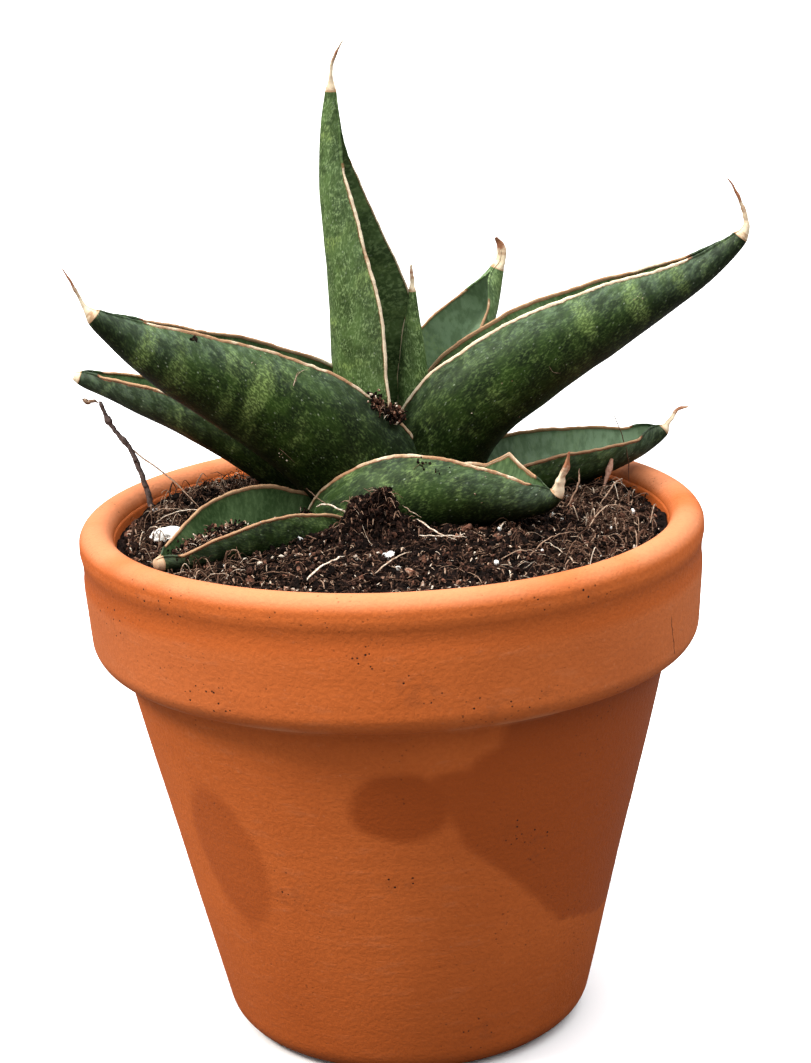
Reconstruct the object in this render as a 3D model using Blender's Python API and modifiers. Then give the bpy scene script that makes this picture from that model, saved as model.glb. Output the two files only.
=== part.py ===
"""Potted snake plant: a tapered clay pot with a rolled rim band, a soil fill, and a rosette of nine
thick boat-shaped leaves that clasp one crown and end in dry tips. Sizes are in millimetres."""
import math

import bmesh
import bpy
import numpy as np

MM = 0.001

# Pot
POT_HEIGHT = 94.5
RIM_RADIUS = 55.0  # outside of the lip
BAND_FOOT_RADIUS = 53.7
BAND_FOOT_Z = 70.4
NECK_RADIUS = 48.6  # body just under the band
FOOT_RADIUS = 32.0
WALL_TOP_INNER = 48.9
FLOOR = 6.5
DRAIN_RADIUS = 5.0
POT_STEPS = 48

# Soil
SOIL_EDGE_Z = 90.8
SOIL_CROWN_Z = 93.6
GAP = 0.3  # clearance kept between neighbouring pieces

# Crown: the short rootstock under the leaves, inside the soil
CROWN_AXIS = (3.5, 14.0)
CROWN_RADIUS, CROWN_TOP, CROWN_FOOT = 9.5, 90.5, 69.0

# The pot's axis stands off the origin, since the leaves reach further to one side
POT_AXIS = (-4.2, 0.0)

# Leaf sections: points along the blade, then along the dry tip
BLADE_RINGS, TIP_RINGS = 15, 4
OUTER_POINTS, INNER_POINTS = 13, 6

# Each leaf: stations (x, y, z, half width) from its base to its end, from the pot's axis and base;
# tip = the station where the dry tip starts; faces = which way the channel opens, at base and end;
# curl = half angle of the outer arc at base, middle and end; rise = lift of the two margins along it
LEAVES = {
    "leaf_spike": dict(
        stations=[(4.2, 15, 88, 3.2), (4.7, 14, 99, 3.4), (4.9, 13.5, 110, 3.0), (5.0, 13.5, 120, 2.2),
                  (5.2, 13.5, 126.5, 1.2), (5.3, 13.5, 130.4, 0.7), (5.3, 13.5, 133, 0.5), (5.3, 13.5, 135.3, 0.25)],
        tip=5, faces=[(-0.6, 0.6, 0), (-0.6, 0.6, 0)], curl=(150, 155, 160), groove=0.6, bow=1.8),
    "leaf_upright": dict(
        stations=[(1.6, 16, 87, 6.4), (1.0, 15, 97, 7.2), (0, 14, 107, 8.0), (-0.8, 13.5, 116, 8.3),
                  (-2, 12.5, 129, 7.5), (-4.7, 12, 141, 5.4), (-6.6, 12, 149.8, 3.8), (-7.6, 12, 156, 2.5),
                  (-7.8, 12, 161.5, 1.75), (-7.6, 12, 166.2, 1.05), (-7.4, 12, 169.8, 0.75),
                  (-6.7, 12, 172.3, 0.55), (-5, 12, 175.2, 0.2)],
        tip=9, faces=[(0.72, -0.7, 0), (0.87, -0.5, 0)], curl=(132, 138, 144), groove=0.75, bow=1.8, shut=0.76,
        rise=([(0, 0), (0.4, -0.9), (0.8, -0.6), (1, 0)], [(0, 0), (1, 0)])),
    "leaf_right": dict(
        stations=[(7, 15.5, 87, 8.7), (7, 14.5, 95, 9.2), (8.5, 12.5, 103, 9.6), (14, 10.5, 110.5, 9.2),
                  (26, 9.2, 118.8, 8.2), (37.4, 9.5, 124.4, 6.6), (48.3, 10, 129.1, 4.4), (57.5, 10, 133.8, 2.5),
                  (63.2, 10, 138.2, 1.3), (64.4, 10, 140.2, 1.0), (64.3, 10, 142.4, 0.85), (63.3, 10, 145, 0.65),
                  (62.2, 10, 147.2, 0.45), (61, 10, 148.9, 0.2)],
        tip=8, faces=[(-0.8, 0.25, 0.6), (-0.25, 0.1, 1)], curl=(140, 148, 152), groove=0.74, bow=1.8,
        rise=([(0, 0), (1, 0)], [(0, 0), (0.25, 1.2), (0.5, 1.8), (0.75, 0.9), (1, 0)])),
    "leaf_left": dict(
        stations=[(0, 13.4, 87, 8.8), (-1, 12.3, 94, 10.2), (-5.5, 9.5, 101.5, 11.0), (-12.5, 6, 109, 10.6),
                  (-24, 2, 116.6, 8.6), (-36, -2, 123, 5.8), (-44, -4, 127.7, 3.4), (-49.2, -6, 131.6, 1.5),
                  (-50.9, -6, 133.8, 0.85), (-52.3, -6.5, 137, 0.6), (-53.9, -7, 140.5, 0.2)],
        tip=7, faces=[(0.75, 0.1, 0.6), (0.3, 0.1, 0.95)], curl=(142, 150, 154), groove=0.72, bow=1.8, tall=1.05),
    "leaf_back": dict(
        stations=[(6, 23, 87, 7.4), (6.5, 24, 97, 8.2), (8.5, 25.5, 109, 8.6), (13, 28, 118, 6.7),
                  (18.2, 30.5, 125.2, 3.5), (21.3, 32, 130.6, 1.4), (22.1, 32, 132.8, 0.9), (22.2, 32, 134.8, 0.8),
                  (21.3, 32, 136.7, 0.3)],
        tip=5, faces=[(-0.5, -0.75, 0.4), (-0.6, -0.5, 0.5)], curl=(112, 116, 120), groove=0.82, bow=2.2, shut=0.84),
    "leaf_low_right": dict(
        stations=[(9.5, 19, 86, 8.2), (13, 18.5, 91.5, 8.4), (19.5, 18.5, 95.4, 8.3), (29, 19.5, 97.7, 7.0),
                  (38.9, 21, 98.6, 5.0), (46.5, 23, 99.4, 2.9), (50.7, 24, 100.7, 1.3), (52.4, 24.5, 102.6, 0.85),
                  (53.6, 25, 104.2, 0.7), (55.6, 25, 104.8, 0.3)],
        tip=6, faces=[(-0.4, -0.2, 0.8), (-0.1, -0.2, 0.95)], curl=(108, 112, 118), groove=0.84, bow=3, shut=0.86),
    "leaf_low_left": dict(
        stations=[(-5, 20, 87, 8.3), (-9, 19.7, 93.5, 8.6), (-15, 19, 99.3, 8.5), (-23.5, 18.5, 104.6, 7.6),
                  (-33.1, 18.5, 108.9, 5.9), (-43.8, 19.5, 112.4, 3.9), (-50.2, 20.5, 114.2, 2.6),
                  (-55.2, 21, 115.4, 1.4), (-56.8, 21, 116, 0.7)],
        faces=[(0.7, -0.1, 0.6), (0.2, -0.1, 0.95)], curl=(118, 122, 126), groove=0.8, bow=2.4, shut=0.9),
    "leaf_front_right": dict(
        stations=[(-6.5, 2.5, 88, 8.7), (-3, -1, 93.2, 8.9), (4, -3.2, 97, 8.0), (13, -6, 98.2, 6.2),
                  (21.5, -8.5, 97.6, 3.9), (26.5, -10, 97.4, 2.2), (28.5, -10.5, 98.4, 1.3), (29.4, -10.5, 100.8, 1.1),
                  (30.3, -10.5, 103.2, 0.8), (30.9, -10.5, 105.9, 0.2)],
        tip=6, faces=[(0.4, 0.5, 0.75), (-0.1, 0.3, 0.95)], curl=(128, 132, 138), groove=0.75, bow=2, shut=0.86,
        rise=([(0, 0), (1, 0)], [(0, 0), (0.5, 0.6), (0.66, 1.4), (0.75, 4.2), (0.86, 2.0), (1, 0)])),
    "leaf_front_left": dict(
        stations=[(-6.5, 1.5, 87, 8.2), (-10.5, -2, 91.5, 8.4), (-17.5, -7, 95.2, 7.9), (-25.2, -13, 96.2, 6.8),
                  (-31.6, -18, 95, 4.9), (-36, -21, 93.4, 2.9), (-38.5, -23, 92.7, 1.6), (-39.9, -24, 92.7, 0.9)],
        faces=[(0.6, 0.3, 0.7), (0.3, 0, 0.95)], curl=(112, 114, 116), groove=0.85, bow=3, shut=0.9),
}

# Perlite grains lying in the soil: x, y, z, size
PERLITE = {
    "perlite_large": (-38.8, -4.6, 92.3, (3.3, 2.2, 1.5)),
    "perlite_front": (-0.6, -24.5, 92.6, (1.3, 1.2, 0.9)),
    "perlite_back": (-22, 33, 92.4, (1.8, 1.5, 1.1)),
}

# Dead flower twig standing behind the left leaves: x, y, z, thickness factor
TWIG = [(-52.2, 20, 111.2, 0.7), (-51.4, 20, 108.8, 0.9), (-50.6, 19.9, 107, 1.7), (-49.2, 19.5, 105, 0.9),
        (-47.2, 19, 102.4, 1.0), (-45.6, 18, 98.4, 1.1), (-44.4, 17.2, 94.6, 1.2)]
TWIG_RADIUS = 0.42

# Dry outer sheath hanging from the low right leaf to the soil
SHEATH = [(40.6, 16.4, 97.6, 0.8), (40.2, 15.6, 96.4, 1.4), (39.6, 14.6, 95.0, 1.6), (38.8, 13.6, 93.2, 0.9)]
SHEATH_RADIUS = 0.5


def clear_scene():
    for obj in list(bpy.data.objects):
        bpy.data.objects.remove(obj, do_unlink=True)


def new_collection(name, hidden=False):
    made = bpy.data.collections.new(name)
    bpy.context.scene.collection.children.link(made)
    made.hide_render = hidden
    return made


def material(name, color, roughness):
    made = bpy.data.materials.new(name)
    made.use_nodes = True
    shader = made.node_tree.nodes["Principled BSDF"]
    shader.inputs["Base Color"].default_value = (*color, 1)
    shader.inputs["Roughness"].default_value = roughness
    return made


def add_object(name, data, group, shade=None, smooth=False):
    obj = bpy.data.objects.new(name, data)
    group.objects.link(obj)
    obj.location = (POT_AXIS[0] * MM, POT_AXIS[1] * MM, 0)
    if shade:
        data.materials.append(shade)
    if smooth:
        for face in data.polygons:
            face.use_smooth = True
    if group.hide_render:
        obj.hide_render = True
        obj.display_type = "WIRE"
    return obj


def unit(vector):
    return vector / np.linalg.norm(vector, axis=-1, keepdims=True)


def ease(start, end, value):
    t = np.clip((value - start) / (end - start), 0, 1)
    return t * t * (3 - 2 * t)


def catmull_rom(stations, fine=40):
    """Smooth run through the stations, and the index in it of each station."""
    points = np.array(stations, float)
    gaps = np.linalg.norm(np.diff(points[:, :3], axis=0), axis=1) ** 0.5
    points = np.vstack([2 * points[0] - points[1], points, 2 * points[-1] - points[-2]])
    knots = np.concatenate([[-gaps[0]], [0], np.cumsum(gaps), [gaps.sum() + gaps[-1]]])
    runs = []
    for i in range(1, len(knots) - 2):
        last = i == len(knots) - 3
        t = np.linspace(knots[i], knots[i + 1], fine, endpoint=last)[:, None]
        t0, t1, t2, t3 = knots[i - 1:i + 3]
        p0, p1, p2, p3 = points[i - 1:i + 3]
        a1 = (t1 - t) / (t1 - t0) * p0 + (t - t0) / (t1 - t0) * p1
        a2 = (t2 - t) / (t2 - t1) * p1 + (t - t1) / (t2 - t1) * p2
        a3 = (t3 - t) / (t3 - t2) * p2 + (t - t2) / (t3 - t2) * p3
        b1 = (t2 - t) / (t2 - t0) * a1 + (t - t0) / (t2 - t0) * a2
        b2 = (t3 - t) / (t3 - t1) * a2 + (t - t1) / (t3 - t1) * a3
        runs.append((t2 - t) / (t2 - t1) * b1 + (t - t1) / (t2 - t1) * b2)
    return np.vstack(runs), [i * fine for i in range(len(stations) - 1)] + [(len(stations) - 1) * fine - 1]


def leaf_sections(leaf, grow=0.0, channel=1.0):
    """Sections of a leaf: an outer arc with its two margins, and the channel between them. grow swells the
    leaf on every side, and channel 0 fills the channel."""
    run, marks = catmull_rom(leaf["stations"])
    along = np.concatenate([[0], np.cumsum(np.linalg.norm(np.diff(run[:, :3], axis=0), axis=1))])
    blade_end = along[marks[leaf["tip"]]] if "tip" in leaf else along[-1]
    at = np.linspace(0, blade_end, BLADE_RINGS)
    if "tip" in leaf:
        at = np.concatenate([at, np.linspace(blade_end, along[-1], TIP_RINGS + 1)[1:]])
    run = np.stack([np.interp(at, along, run[:, i]) for i in range(4)], axis=1)
    centre, half = run[:, :3], np.maximum(run[:, 3], 0.1) + grow
    share = at / blade_end
    tangent = unit(np.gradient(centre, at, axis=0))
    faces = unit(np.array(leaf["faces"], float))
    shut = ease(leaf.get("shut", 0.86), 1, share)
    curl = np.radians(np.interp(share, [0, 0.5, 1], leaf["curl"]))
    curl += (math.radians(174) - curl) * shut
    tall = leaf.get("tall", 1) + (1 - leaf.get("tall", 1)) * shut
    groove = leaf["groove"] * (1 - shut) + 0.02 * shut
    flat = ([(0, 0)], [(0, 0)])
    rise = [np.interp(share, *zip(*side)) for side in leaf.get("rise", flat)]
    normal = faces[0]
    sections = []
    for i, s in enumerate(share):
        if s < 0.93:
            normal = faces[0] * (1 - s) + faces[1] * s
        normal = unit(normal - normal @ tangent[i] * tangent[i])
        side = np.cross(tangent[i], normal)
        depth = half[i] * tall[i]
        arc = np.linspace(-curl[i], curl[i], OUTER_POINTS)
        lift = np.where(arc > 0, rise[0][i], rise[1][i]) * np.abs(arc / curl[i]) ** 3
        outer = np.stack([half[i] * np.sin(arc), -depth * np.cos(arc) + lift])
        margin_x, margin_y = half[i] * math.sin(curl[i]), -depth * math.cos(curl[i])
        v = np.linspace(1, -1, INNER_POINTS + 2)[1:-1]
        sink = (groove[i] * (margin_y + depth) - 2 * grow) * channel
        lift = np.where(v > 0, rise[0][i], rise[1][i]) * np.abs(v) ** 4
        inner = np.stack([margin_x * v, margin_y - sink * (1 - np.abs(v) ** leaf["bow"]) + lift])
        flat_ring = np.concatenate([outer, inner], axis=1)
        sections.append(centre[i] + flat_ring[0][:, None] * side + flat_ring[1][:, None] * normal)
    sections = np.array(sections)
    sections[0] -= tangent[0] * grow
    return sections


def loft(name, sections, group, shade=None):
    """One closed mesh through the sections, with a zipped cap at each end."""
    rings, count = sections.shape[:2]
    faces = [
        (i * count + j, (i + 1) * count + j, (i + 1) * count + (j + 1) % count, i * count + (j + 1) % count)
        for i in range(rings - 1)
        for j in range(count)
    ]
    for base, turned in ((0, False), ((rings - 1) * count, True)):
        outer = [base + i for i in range(OUTER_POINTS)]
        inner = [outer[0], *(base + count - 1 - i for i in range(INNER_POINTS)), outer[-1]]
        i = j = 0
        while i < len(outer) - 1 or j < len(inner) - 1:
            if j == len(inner) - 1 or (i < len(outer) - 1 and (i + 1) / (len(outer) - 1) <= (j + 1) / (len(inner) - 1)):
                corner = (outer[i], outer[i + 1], inner[j])
                i += 1
            else:
                corner = (outer[i], inner[j + 1], inner[j])
                j += 1
            if len(set(corner)) == 3:
                faces.append(corner[::-1] if turned else corner)
    mesh = bpy.data.meshes.new(name)
    mesh.from_pydata((sections.reshape(-1, 3) * MM).tolist(), [], faces)
    return add_object(name, mesh, group, shade, smooth=True)


def rounded(corners):
    """A profile from corners (radius, height, fillet, points in the fillet)."""
    points = []
    for i, (x, z, fillet, count) in enumerate(corners):
        here = np.array([x, z], float)
        if not fillet:
            points.append(here)
            continue
        before = unit(np.array(corners[i - 1][:2], float) - here)
        after = unit(np.array(corners[(i + 1) % len(corners)][:2], float) - here)
        half = math.acos(np.clip(before @ after, -1, 1)) / 2
        centre = here + unit(before + after) * fillet / math.sin(half)
        start = here + before * fillet / math.tan(half) - centre
        end = here + after * fillet / math.tan(half) - centre
        angle = math.pi - 2 * half
        for step in range(count):
            t = step / (count - 1)
            blend = math.sin((1 - t) * angle) * start + math.sin(t * angle) * end
            points.append(centre + blend / math.sin(angle))
    return points


def revolved(name, profile, group, shade=None, steps=POT_STEPS, ring=True, weights=None):
    """A profile turned about the object's Z axis. It runs down the outside. ring joins its last point to its
    first."""
    mesh = bpy.data.meshes.new(name)
    edges = [(i, i + 1) for i in range(len(profile) - 1)] + ([(len(profile) - 1, 0)] if ring else [])
    mesh.from_pydata([(x * MM, 0, z * MM) for x, z in profile], edges, [])
    obj = add_object(name, mesh, group, shade)
    if weights:
        top = obj.vertex_groups.new(name="top")
        for index, weight in enumerate(weights):
            top.add([index], weight, "REPLACE")
    screw = obj.modifiers.new("Turn", "SCREW")
    screw.steps = screw.render_steps = steps
    screw.use_merge_vertices = True
    screw.merge_threshold = 0.00001
    screw.use_smooth_shade = True
    return obj


def cut(obj, cutters, operation="DIFFERENCE"):
    for cutter in cutters:
        step = obj.modifiers.new(f"{operation.title()} {cutter.name}", "BOOLEAN")
        step.solver = "MANIFOLD"
        step.operation = operation
        step.object = cutter


def lumpy_stone(name, place, size, group, shade=None, seed=0, detail=2, rough=0.22):
    """A low irregular lump, such as a perlite grain or a clod."""
    mesh = bpy.data.meshes.new(name)
    shape = bmesh.new()
    bmesh.ops.create_icosphere(shape, subdivisions=detail, radius=1)
    jitter = np.random.default_rng(seed)
    for vertex in shape.verts:
        push = 1 + jitter.uniform(-rough, rough)
        vertex.co = [(place[i] + vertex.co[i] * size[i] * push) * MM for i in range(3)]
    shape.to_mesh(mesh)
    shape.free()
    return add_object(name, mesh, group, shade)


def strand(name, stations, radius, group, shade=None, grow=0.0):
    """A round strand through the stations, whose fourth number scales its thickness."""
    data = bpy.data.curves.new(name, "CURVE")
    data.dimensions = "3D"
    data.bevel_depth = radius * MM
    data.bevel_resolution = 1
    data.resolution_u = 3
    data.use_fill_caps = True
    line = data.splines.new("NURBS")
    line.points.add(len(stations) - 1)
    line.order_u = 3
    line.use_endpoint_u = True
    for point, (x, y, z, thick) in zip(line.points, stations):
        point.co = (x * MM, y * MM, z * MM, 1)
        point.radius = thick + grow / radius
    if shade:
        data.materials.append(shade)
    return add_object(name, data, group)


def pot_profile():
    slope = (NECK_RADIUS - FOOT_RADIUS) / BAND_FOOT_Z
    floor_inner = WALL_TOP_INNER - slope * (POT_HEIGHT - 2.5 - FLOOR)
    return rounded([
        (RIM_RADIUS, POT_HEIGHT, 2.9, 5),
        (RIM_RADIUS, POT_HEIGHT - 5.0, 0.6, 2),
        (RIM_RADIUS - 0.5, POT_HEIGHT - 5.6, 0, 0),
        (RIM_RADIUS - 0.6, POT_HEIGHT - 8.8, 0, 0),
        (RIM_RADIUS - 0.35, POT_HEIGHT - 9.3, 0, 0),
        (BAND_FOOT_RADIUS, BAND_FOOT_Z, 4.4, 5),
        (NECK_RADIUS, BAND_FOOT_Z, 0.5, 2),
        (FOOT_RADIUS, 0, 6.0, 5),
        (DRAIN_RADIUS + 1, 0, 0, 0),
        (DRAIN_RADIUS, 1.2, 0, 0),
        (DRAIN_RADIUS, FLOOR - 1, 0, 0),
        (DRAIN_RADIUS + 1, FLOOR, 0, 0),
        (floor_inner, FLOOR, 4.0, 3),
        (WALL_TOP_INNER, POT_HEIGHT - 2.5, 0, 0),
        (WALL_TOP_INNER + 0.2, POT_HEIGHT, 2.9, 4),
    ])


def crown_profile(grow):
    top, foot, radius = CROWN_TOP + grow, CROWN_FOOT - grow, CROWN_RADIUS + grow
    return rounded([(0, top, 0, 0), (radius, top - 1.5, 3, 4), (radius - 0.5, foot + 1, 4, 4), (0, foot, 0, 0)])


def soil_profile():
    """The fill: top surface from the axis outwards, down the wall with a gap, and back along the floor."""
    slope = (NECK_RADIUS - FOOT_RADIUS) / BAND_FOOT_Z
    wall = lambda z: WALL_TOP_INNER - slope * (POT_HEIGHT - 2.5 - z) - GAP
    edge = wall(SOIL_EDGE_Z)
    profile, weights = [], []
    for r in (0.0, 5, 10, 15, 20, 25, 30, 35, 40, 44, edge):
        share = r / edge
        profile.append((r, SOIL_CROWN_Z - (SOIL_CROWN_Z - SOIL_EDGE_Z) * ease(0.25, 1, share)))
        weights.append(0.0 if r == 0 or r == edge else 1.0)
    for z in (80, 40, FLOOR + 4):
        profile.append((wall(z), z))
        weights.append(0.0)
    profile += [(wall(FLOOR) - 3.5, FLOOR + GAP), (0.0, FLOOR + GAP)]
    weights += [0.0, 0.0]
    return profile, weights


def build():
    clear_scene()
    plant = new_collection("potted_snake_plant")
    cutters = new_collection("cutters", hidden=True)

    clay = material("terracotta", (0.55, 0.18, 0.06), 0.85)
    dark_soil = material("soil", (0.03, 0.018, 0.012), 0.95)
    cork = material("crown", (0.45, 0.25, 0.12), 0.8)
    white = material("perlite", (0.8, 0.8, 0.76), 0.9)
    straw = material("dry_twig", (0.12, 0.08, 0.06), 0.9)
    husk = material("dry_sheath", (0.5, 0.3, 0.24), 0.85)

    revolved("pot", pot_profile(), plant, clay)

    rooms = []
    for name, leaf in LEAVES.items():
        green = material(name, (0.05, 0.16, 0.06), 0.45)
        cut(loft(name, leaf_sections(leaf), plant, green), rooms)
        room = leaf_sections(leaf, grow=GAP, channel=0)[:BLADE_RINGS]
        rooms.append(loft(f"{name}_room", room, cutters))

    crown = revolved("crown", crown_profile(0), plant, cork, steps=20, ring=False)
    cut(crown, rooms)
    crown_room = revolved("crown_room", crown_profile(GAP), cutters, steps=20, ring=False)
    for obj in (crown, crown_room):
        obj.location.x += CROWN_AXIS[0] * MM
        obj.location.y += CROWN_AXIS[1] * MM

    profile, weights = soil_profile()
    soil = revolved("soil", profile, plant, dark_soil, steps=40, ring=False, weights=weights)
    clods = bpy.data.textures.new("clods", "CLOUDS")
    clods.noise_scale = 0.006
    rough = soil.modifiers.new("Clods", "DISPLACE")
    rough.texture = clods
    rough.texture_coords = "GLOBAL"
    rough.vertex_group = "top"
    rough.direction = "Z"
    rough.strength = 0.0022
    clump = lumpy_stone("clump", (-2.6, -13, 96.5), (5.2, 3.6, 7.5), cutters, seed=4, detail=2, rough=0.14)
    cut(soil, [clump], "UNION")
    cut(soil, [*rooms, crown_room])

    for seed, (name, (x, y, z, size)) in enumerate(PERLITE.items()):
        lumpy_stone(name, (x, y, z), size, plant, white, seed=seed)
        room = [s + GAP for s in size]
        cut(soil, [lumpy_stone(f"{name}_room", (x, y, z), room, cutters, seed=seed)])

    strand("dead_twig", TWIG, TWIG_RADIUS, plant, straw)
    strand("dry_sheath", SHEATH, SHEATH_RADIUS, plant, husk)


build()
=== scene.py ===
import math

import bmesh
import bpy
import numpy as np
from mathutils import Euler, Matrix, Quaternion, Vector, noise
from mathutils.bvhtree import BVHTree


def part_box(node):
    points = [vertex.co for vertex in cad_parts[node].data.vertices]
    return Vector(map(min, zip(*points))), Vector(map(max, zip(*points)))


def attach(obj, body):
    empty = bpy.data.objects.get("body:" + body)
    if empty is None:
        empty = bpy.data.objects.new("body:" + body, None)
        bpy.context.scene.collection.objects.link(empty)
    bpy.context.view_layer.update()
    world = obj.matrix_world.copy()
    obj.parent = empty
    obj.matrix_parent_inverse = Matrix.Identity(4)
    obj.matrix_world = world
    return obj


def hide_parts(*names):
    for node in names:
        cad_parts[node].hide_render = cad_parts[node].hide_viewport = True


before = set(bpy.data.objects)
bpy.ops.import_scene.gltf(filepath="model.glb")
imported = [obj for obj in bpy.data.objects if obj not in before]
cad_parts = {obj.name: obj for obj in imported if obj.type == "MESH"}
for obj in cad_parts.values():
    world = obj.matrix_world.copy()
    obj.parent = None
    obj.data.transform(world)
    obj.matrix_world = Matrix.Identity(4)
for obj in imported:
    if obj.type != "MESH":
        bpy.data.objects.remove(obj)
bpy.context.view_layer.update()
mm = 0.001
potLow, potHigh = (np.array(corner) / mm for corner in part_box("pot"))
potAxis = (potLow + potHigh)[:2] / 2  # the pot's axis, in millimetres
potHeight, rimRadius = potHigh[2], (potHigh[0] - potLow[0]) / 2
print("frame loaded: pot", potHeight, "mm tall, rim radius", rimRadius, "mm")


# helpers for numbers and meshes; lengths are millimetres from the pot's axis
def unit(vectors):
    return vectors / np.linalg.norm(vectors, axis=-1, keepdims=True)


def ease(start, end, value):
    t = np.clip((value - start) / (end - start), 0, 1)
    return t * t * (3 - 2 * t)


def noiseAt(x, y=0.0, z=0.0):
    return noise.noise(Vector((x, y, z)))


def wavy(at, seed, size=1.0):
    # smooth noise from -1 to 1 along a line
    return np.array([noiseAt(a / size, seed * 7.31, 0.5) for a in np.atleast_1d(at)])


def meshPiece(name, points, faces, material, layers=None, smooth=True):
    mesh = bpy.data.meshes.new(name)
    placed = np.array(points, float) + np.array([potAxis[0], potAxis[1], 0])
    mesh.from_pydata((placed * mm).tolist(), [], faces)
    for layer, values in (layers or {}).items():
        stored = mesh.attributes.new(layer, "FLOAT", "POINT")
        stored.data.foreach_set("value", np.asarray(values, np.float32).ravel())
    mesh.polygons.foreach_set("use_smooth", [smooth] * len(mesh.polygons))
    mesh.materials.append(material)
    mesh.validate()
    obj = bpy.data.objects.new(name, mesh)
    bpy.context.scene.collection.objects.link(obj)
    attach(obj, "root")
    return obj


def gridFaces(rings, count, offset=0):
    i, j = np.meshgrid(np.arange(rings - 1), np.arange(count), indexing="ij")
    after = (j + 1) % count
    quads = np.stack([i * count + j, (i + 1) * count + j, (i + 1) * count + after, i * count + after], -1)
    return (quads.reshape(-1, 4) + offset).tolist()


# helpers for node trees
def addNode(tree, kind, values=None, **settings):
    node = tree.nodes.new(kind)
    for key, value in settings.items():
        setattr(node, key, value)
    for key, value in (values or {}).items():
        node.inputs[key].default_value = value
    return node


def join(tree, *pairs):
    for source, target in pairs:
        tree.links.new(source, target)


def ramp(tree, source, stops):
    node = addNode(tree, "ShaderNodeValToRGB")
    elements = node.color_ramp.elements
    while len(elements) < len(stops):
        elements.new(0.5)
    for element, (position, color) in zip(elements, stops):
        element.position = position
        element.color = (*color, 1)
    join(tree, (source, node.inputs["Fac"]))
    return node.outputs["Color"]


def mixColor(tree, factor, first, second):
    node = addNode(tree, "ShaderNodeMix", data_type="RGBA")
    for socket, value in ((0, factor), (6, first), (7, second)):
        if isinstance(value, (int, float)):
            node.inputs[socket].default_value = value
        elif isinstance(value, tuple):
            node.inputs[socket].default_value = (*value, 1)
        else:
            join(tree, (value, node.inputs[socket]))
    return node.outputs[2]


def math1(tree, operation, first, second=0.0, clamp=False):
    node = addNode(tree, "ShaderNodeMath", operation=operation, use_clamp=clamp)
    for socket, value in enumerate((first, second)):
        if isinstance(value, (int, float)):
            node.inputs[socket].default_value = value
        else:
            join(tree, (value, node.inputs[socket]))
    return node.outputs[0]


def times(tree, first, second, clamp=False):
    return math1(tree, "MULTIPLY", first, second, clamp)


def plus(tree, first, second, clamp=False):
    return math1(tree, "ADD", first, second, clamp)


def minus(tree, first, second):
    return math1(tree, "SUBTRACT", first, second)


def scaled(tree, value, factor, base):
    return plus(tree, times(tree, value, factor), base)


def remap(tree, value, low, high, toLow=0.0, toHigh=1.0):
    node = addNode(tree, "ShaderNodeMapRange", {1: low, 2: high, 3: toLow, 4: toHigh},
                   interpolation_type="SMOOTHSTEP")
    join(tree, (value, node.inputs[0]))
    return node.outputs[0]


def readLayer(tree, name):
    return addNode(tree, "ShaderNodeAttribute", attribute_name=name).outputs["Fac"]


def newGroup(name, inputs, outputs):
    group = bpy.data.node_groups.new(name, "ShaderNodeTree")
    for label, kind, value in inputs:
        socket = group.interface.new_socket(label, in_out="INPUT", socket_type=kind)
        if value is not None:
            socket.default_value = value
    for label, kind in outputs:
        group.interface.new_socket(label, in_out="OUTPUT", socket_type=kind)
    return group, group.nodes.new("NodeGroupInput").outputs, group.nodes.new("NodeGroupOutput").inputs


def useGroup(tree, group, vector, **values):
    node = addNode(tree, "ShaderNodeGroup", node_tree=group)
    join(tree, (vector, node.inputs["Vector"]))
    for key, value in values.items():
        node.inputs[key].default_value = value
    return node.outputs[0]


def newMaterial(name, roughness, **sockets):
    made = bpy.data.materials.new(name)
    made.use_nodes = True
    tree = made.node_tree
    shader = tree.nodes["Principled BSDF"]
    shader.inputs["Roughness"].default_value = roughness
    for key, value in sockets.items():
        shader.inputs[key].default_value = value
    return made, tree, shader


def bumpFrom(tree, shader, height, strength, distance):
    bump = addNode(tree, "ShaderNodeBump", {"Strength": strength, "Distance": distance})
    join(tree, (height, bump.inputs["Height"]), (bump.outputs["Normal"], shader.inputs["Normal"]))


# grains: soft dots of one size scattered over a surface, 0 to 1
grains, source, result = newGroup(
    "grains",
    [("Vector", "NodeSocketVector", None), ("Scale", "NodeSocketFloat", 1.0),
     ("Dot size", "NodeSocketFloat", 0.25)],
    [("Mask", "NodeSocketFloat")],
)
cells = addNode(grains, "ShaderNodeTexVoronoi", feature="F1")
join(grains, (source["Vector"], cells.inputs["Vector"]), (source["Scale"], cells.inputs["Scale"]))
fade = addNode(grains, "ShaderNodeMapRange", {2: 0.0, 3: 0.0, 4: 1.0}, interpolation_type="SMOOTHSTEP")
join(grains, (cells.outputs["Distance"], fade.inputs[0]), (source["Dot size"], fade.inputs[1]))
pick = addNode(grains, "ShaderNodeSeparateColor")
join(grains, (cells.outputs["Color"], pick.inputs[0]))
join(grains, (times(grains, fade.outputs[0], pick.outputs[0]), result["Mask"]))

# patches: soft-edged blotches from layered noise, 0 to 1
patches, source, result = newGroup(
    "patches",
    [("Vector", "NodeSocketVector", None), ("Scale", "NodeSocketFloat", 1.0),
     ("Detail", "NodeSocketFloat", 3.0), ("Low", "NodeSocketFloat", 0.45), ("High", "NodeSocketFloat", 0.6)],
    [("Mask", "NodeSocketFloat")],
)
cloud = addNode(patches, "ShaderNodeTexNoise", {"Roughness": 0.6})
join(patches, *((source[key], cloud.inputs[key]) for key in ("Vector", "Scale", "Detail")))
fade = addNode(patches, "ShaderNodeMapRange", interpolation_type="SMOOTHSTEP")
join(patches, (cloud.outputs["Fac"], fade.inputs[0]), (source["Low"], fade.inputs[1]),
     (source["High"], fade.inputs[2]), (fade.outputs[0], result["Mask"]))

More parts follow.
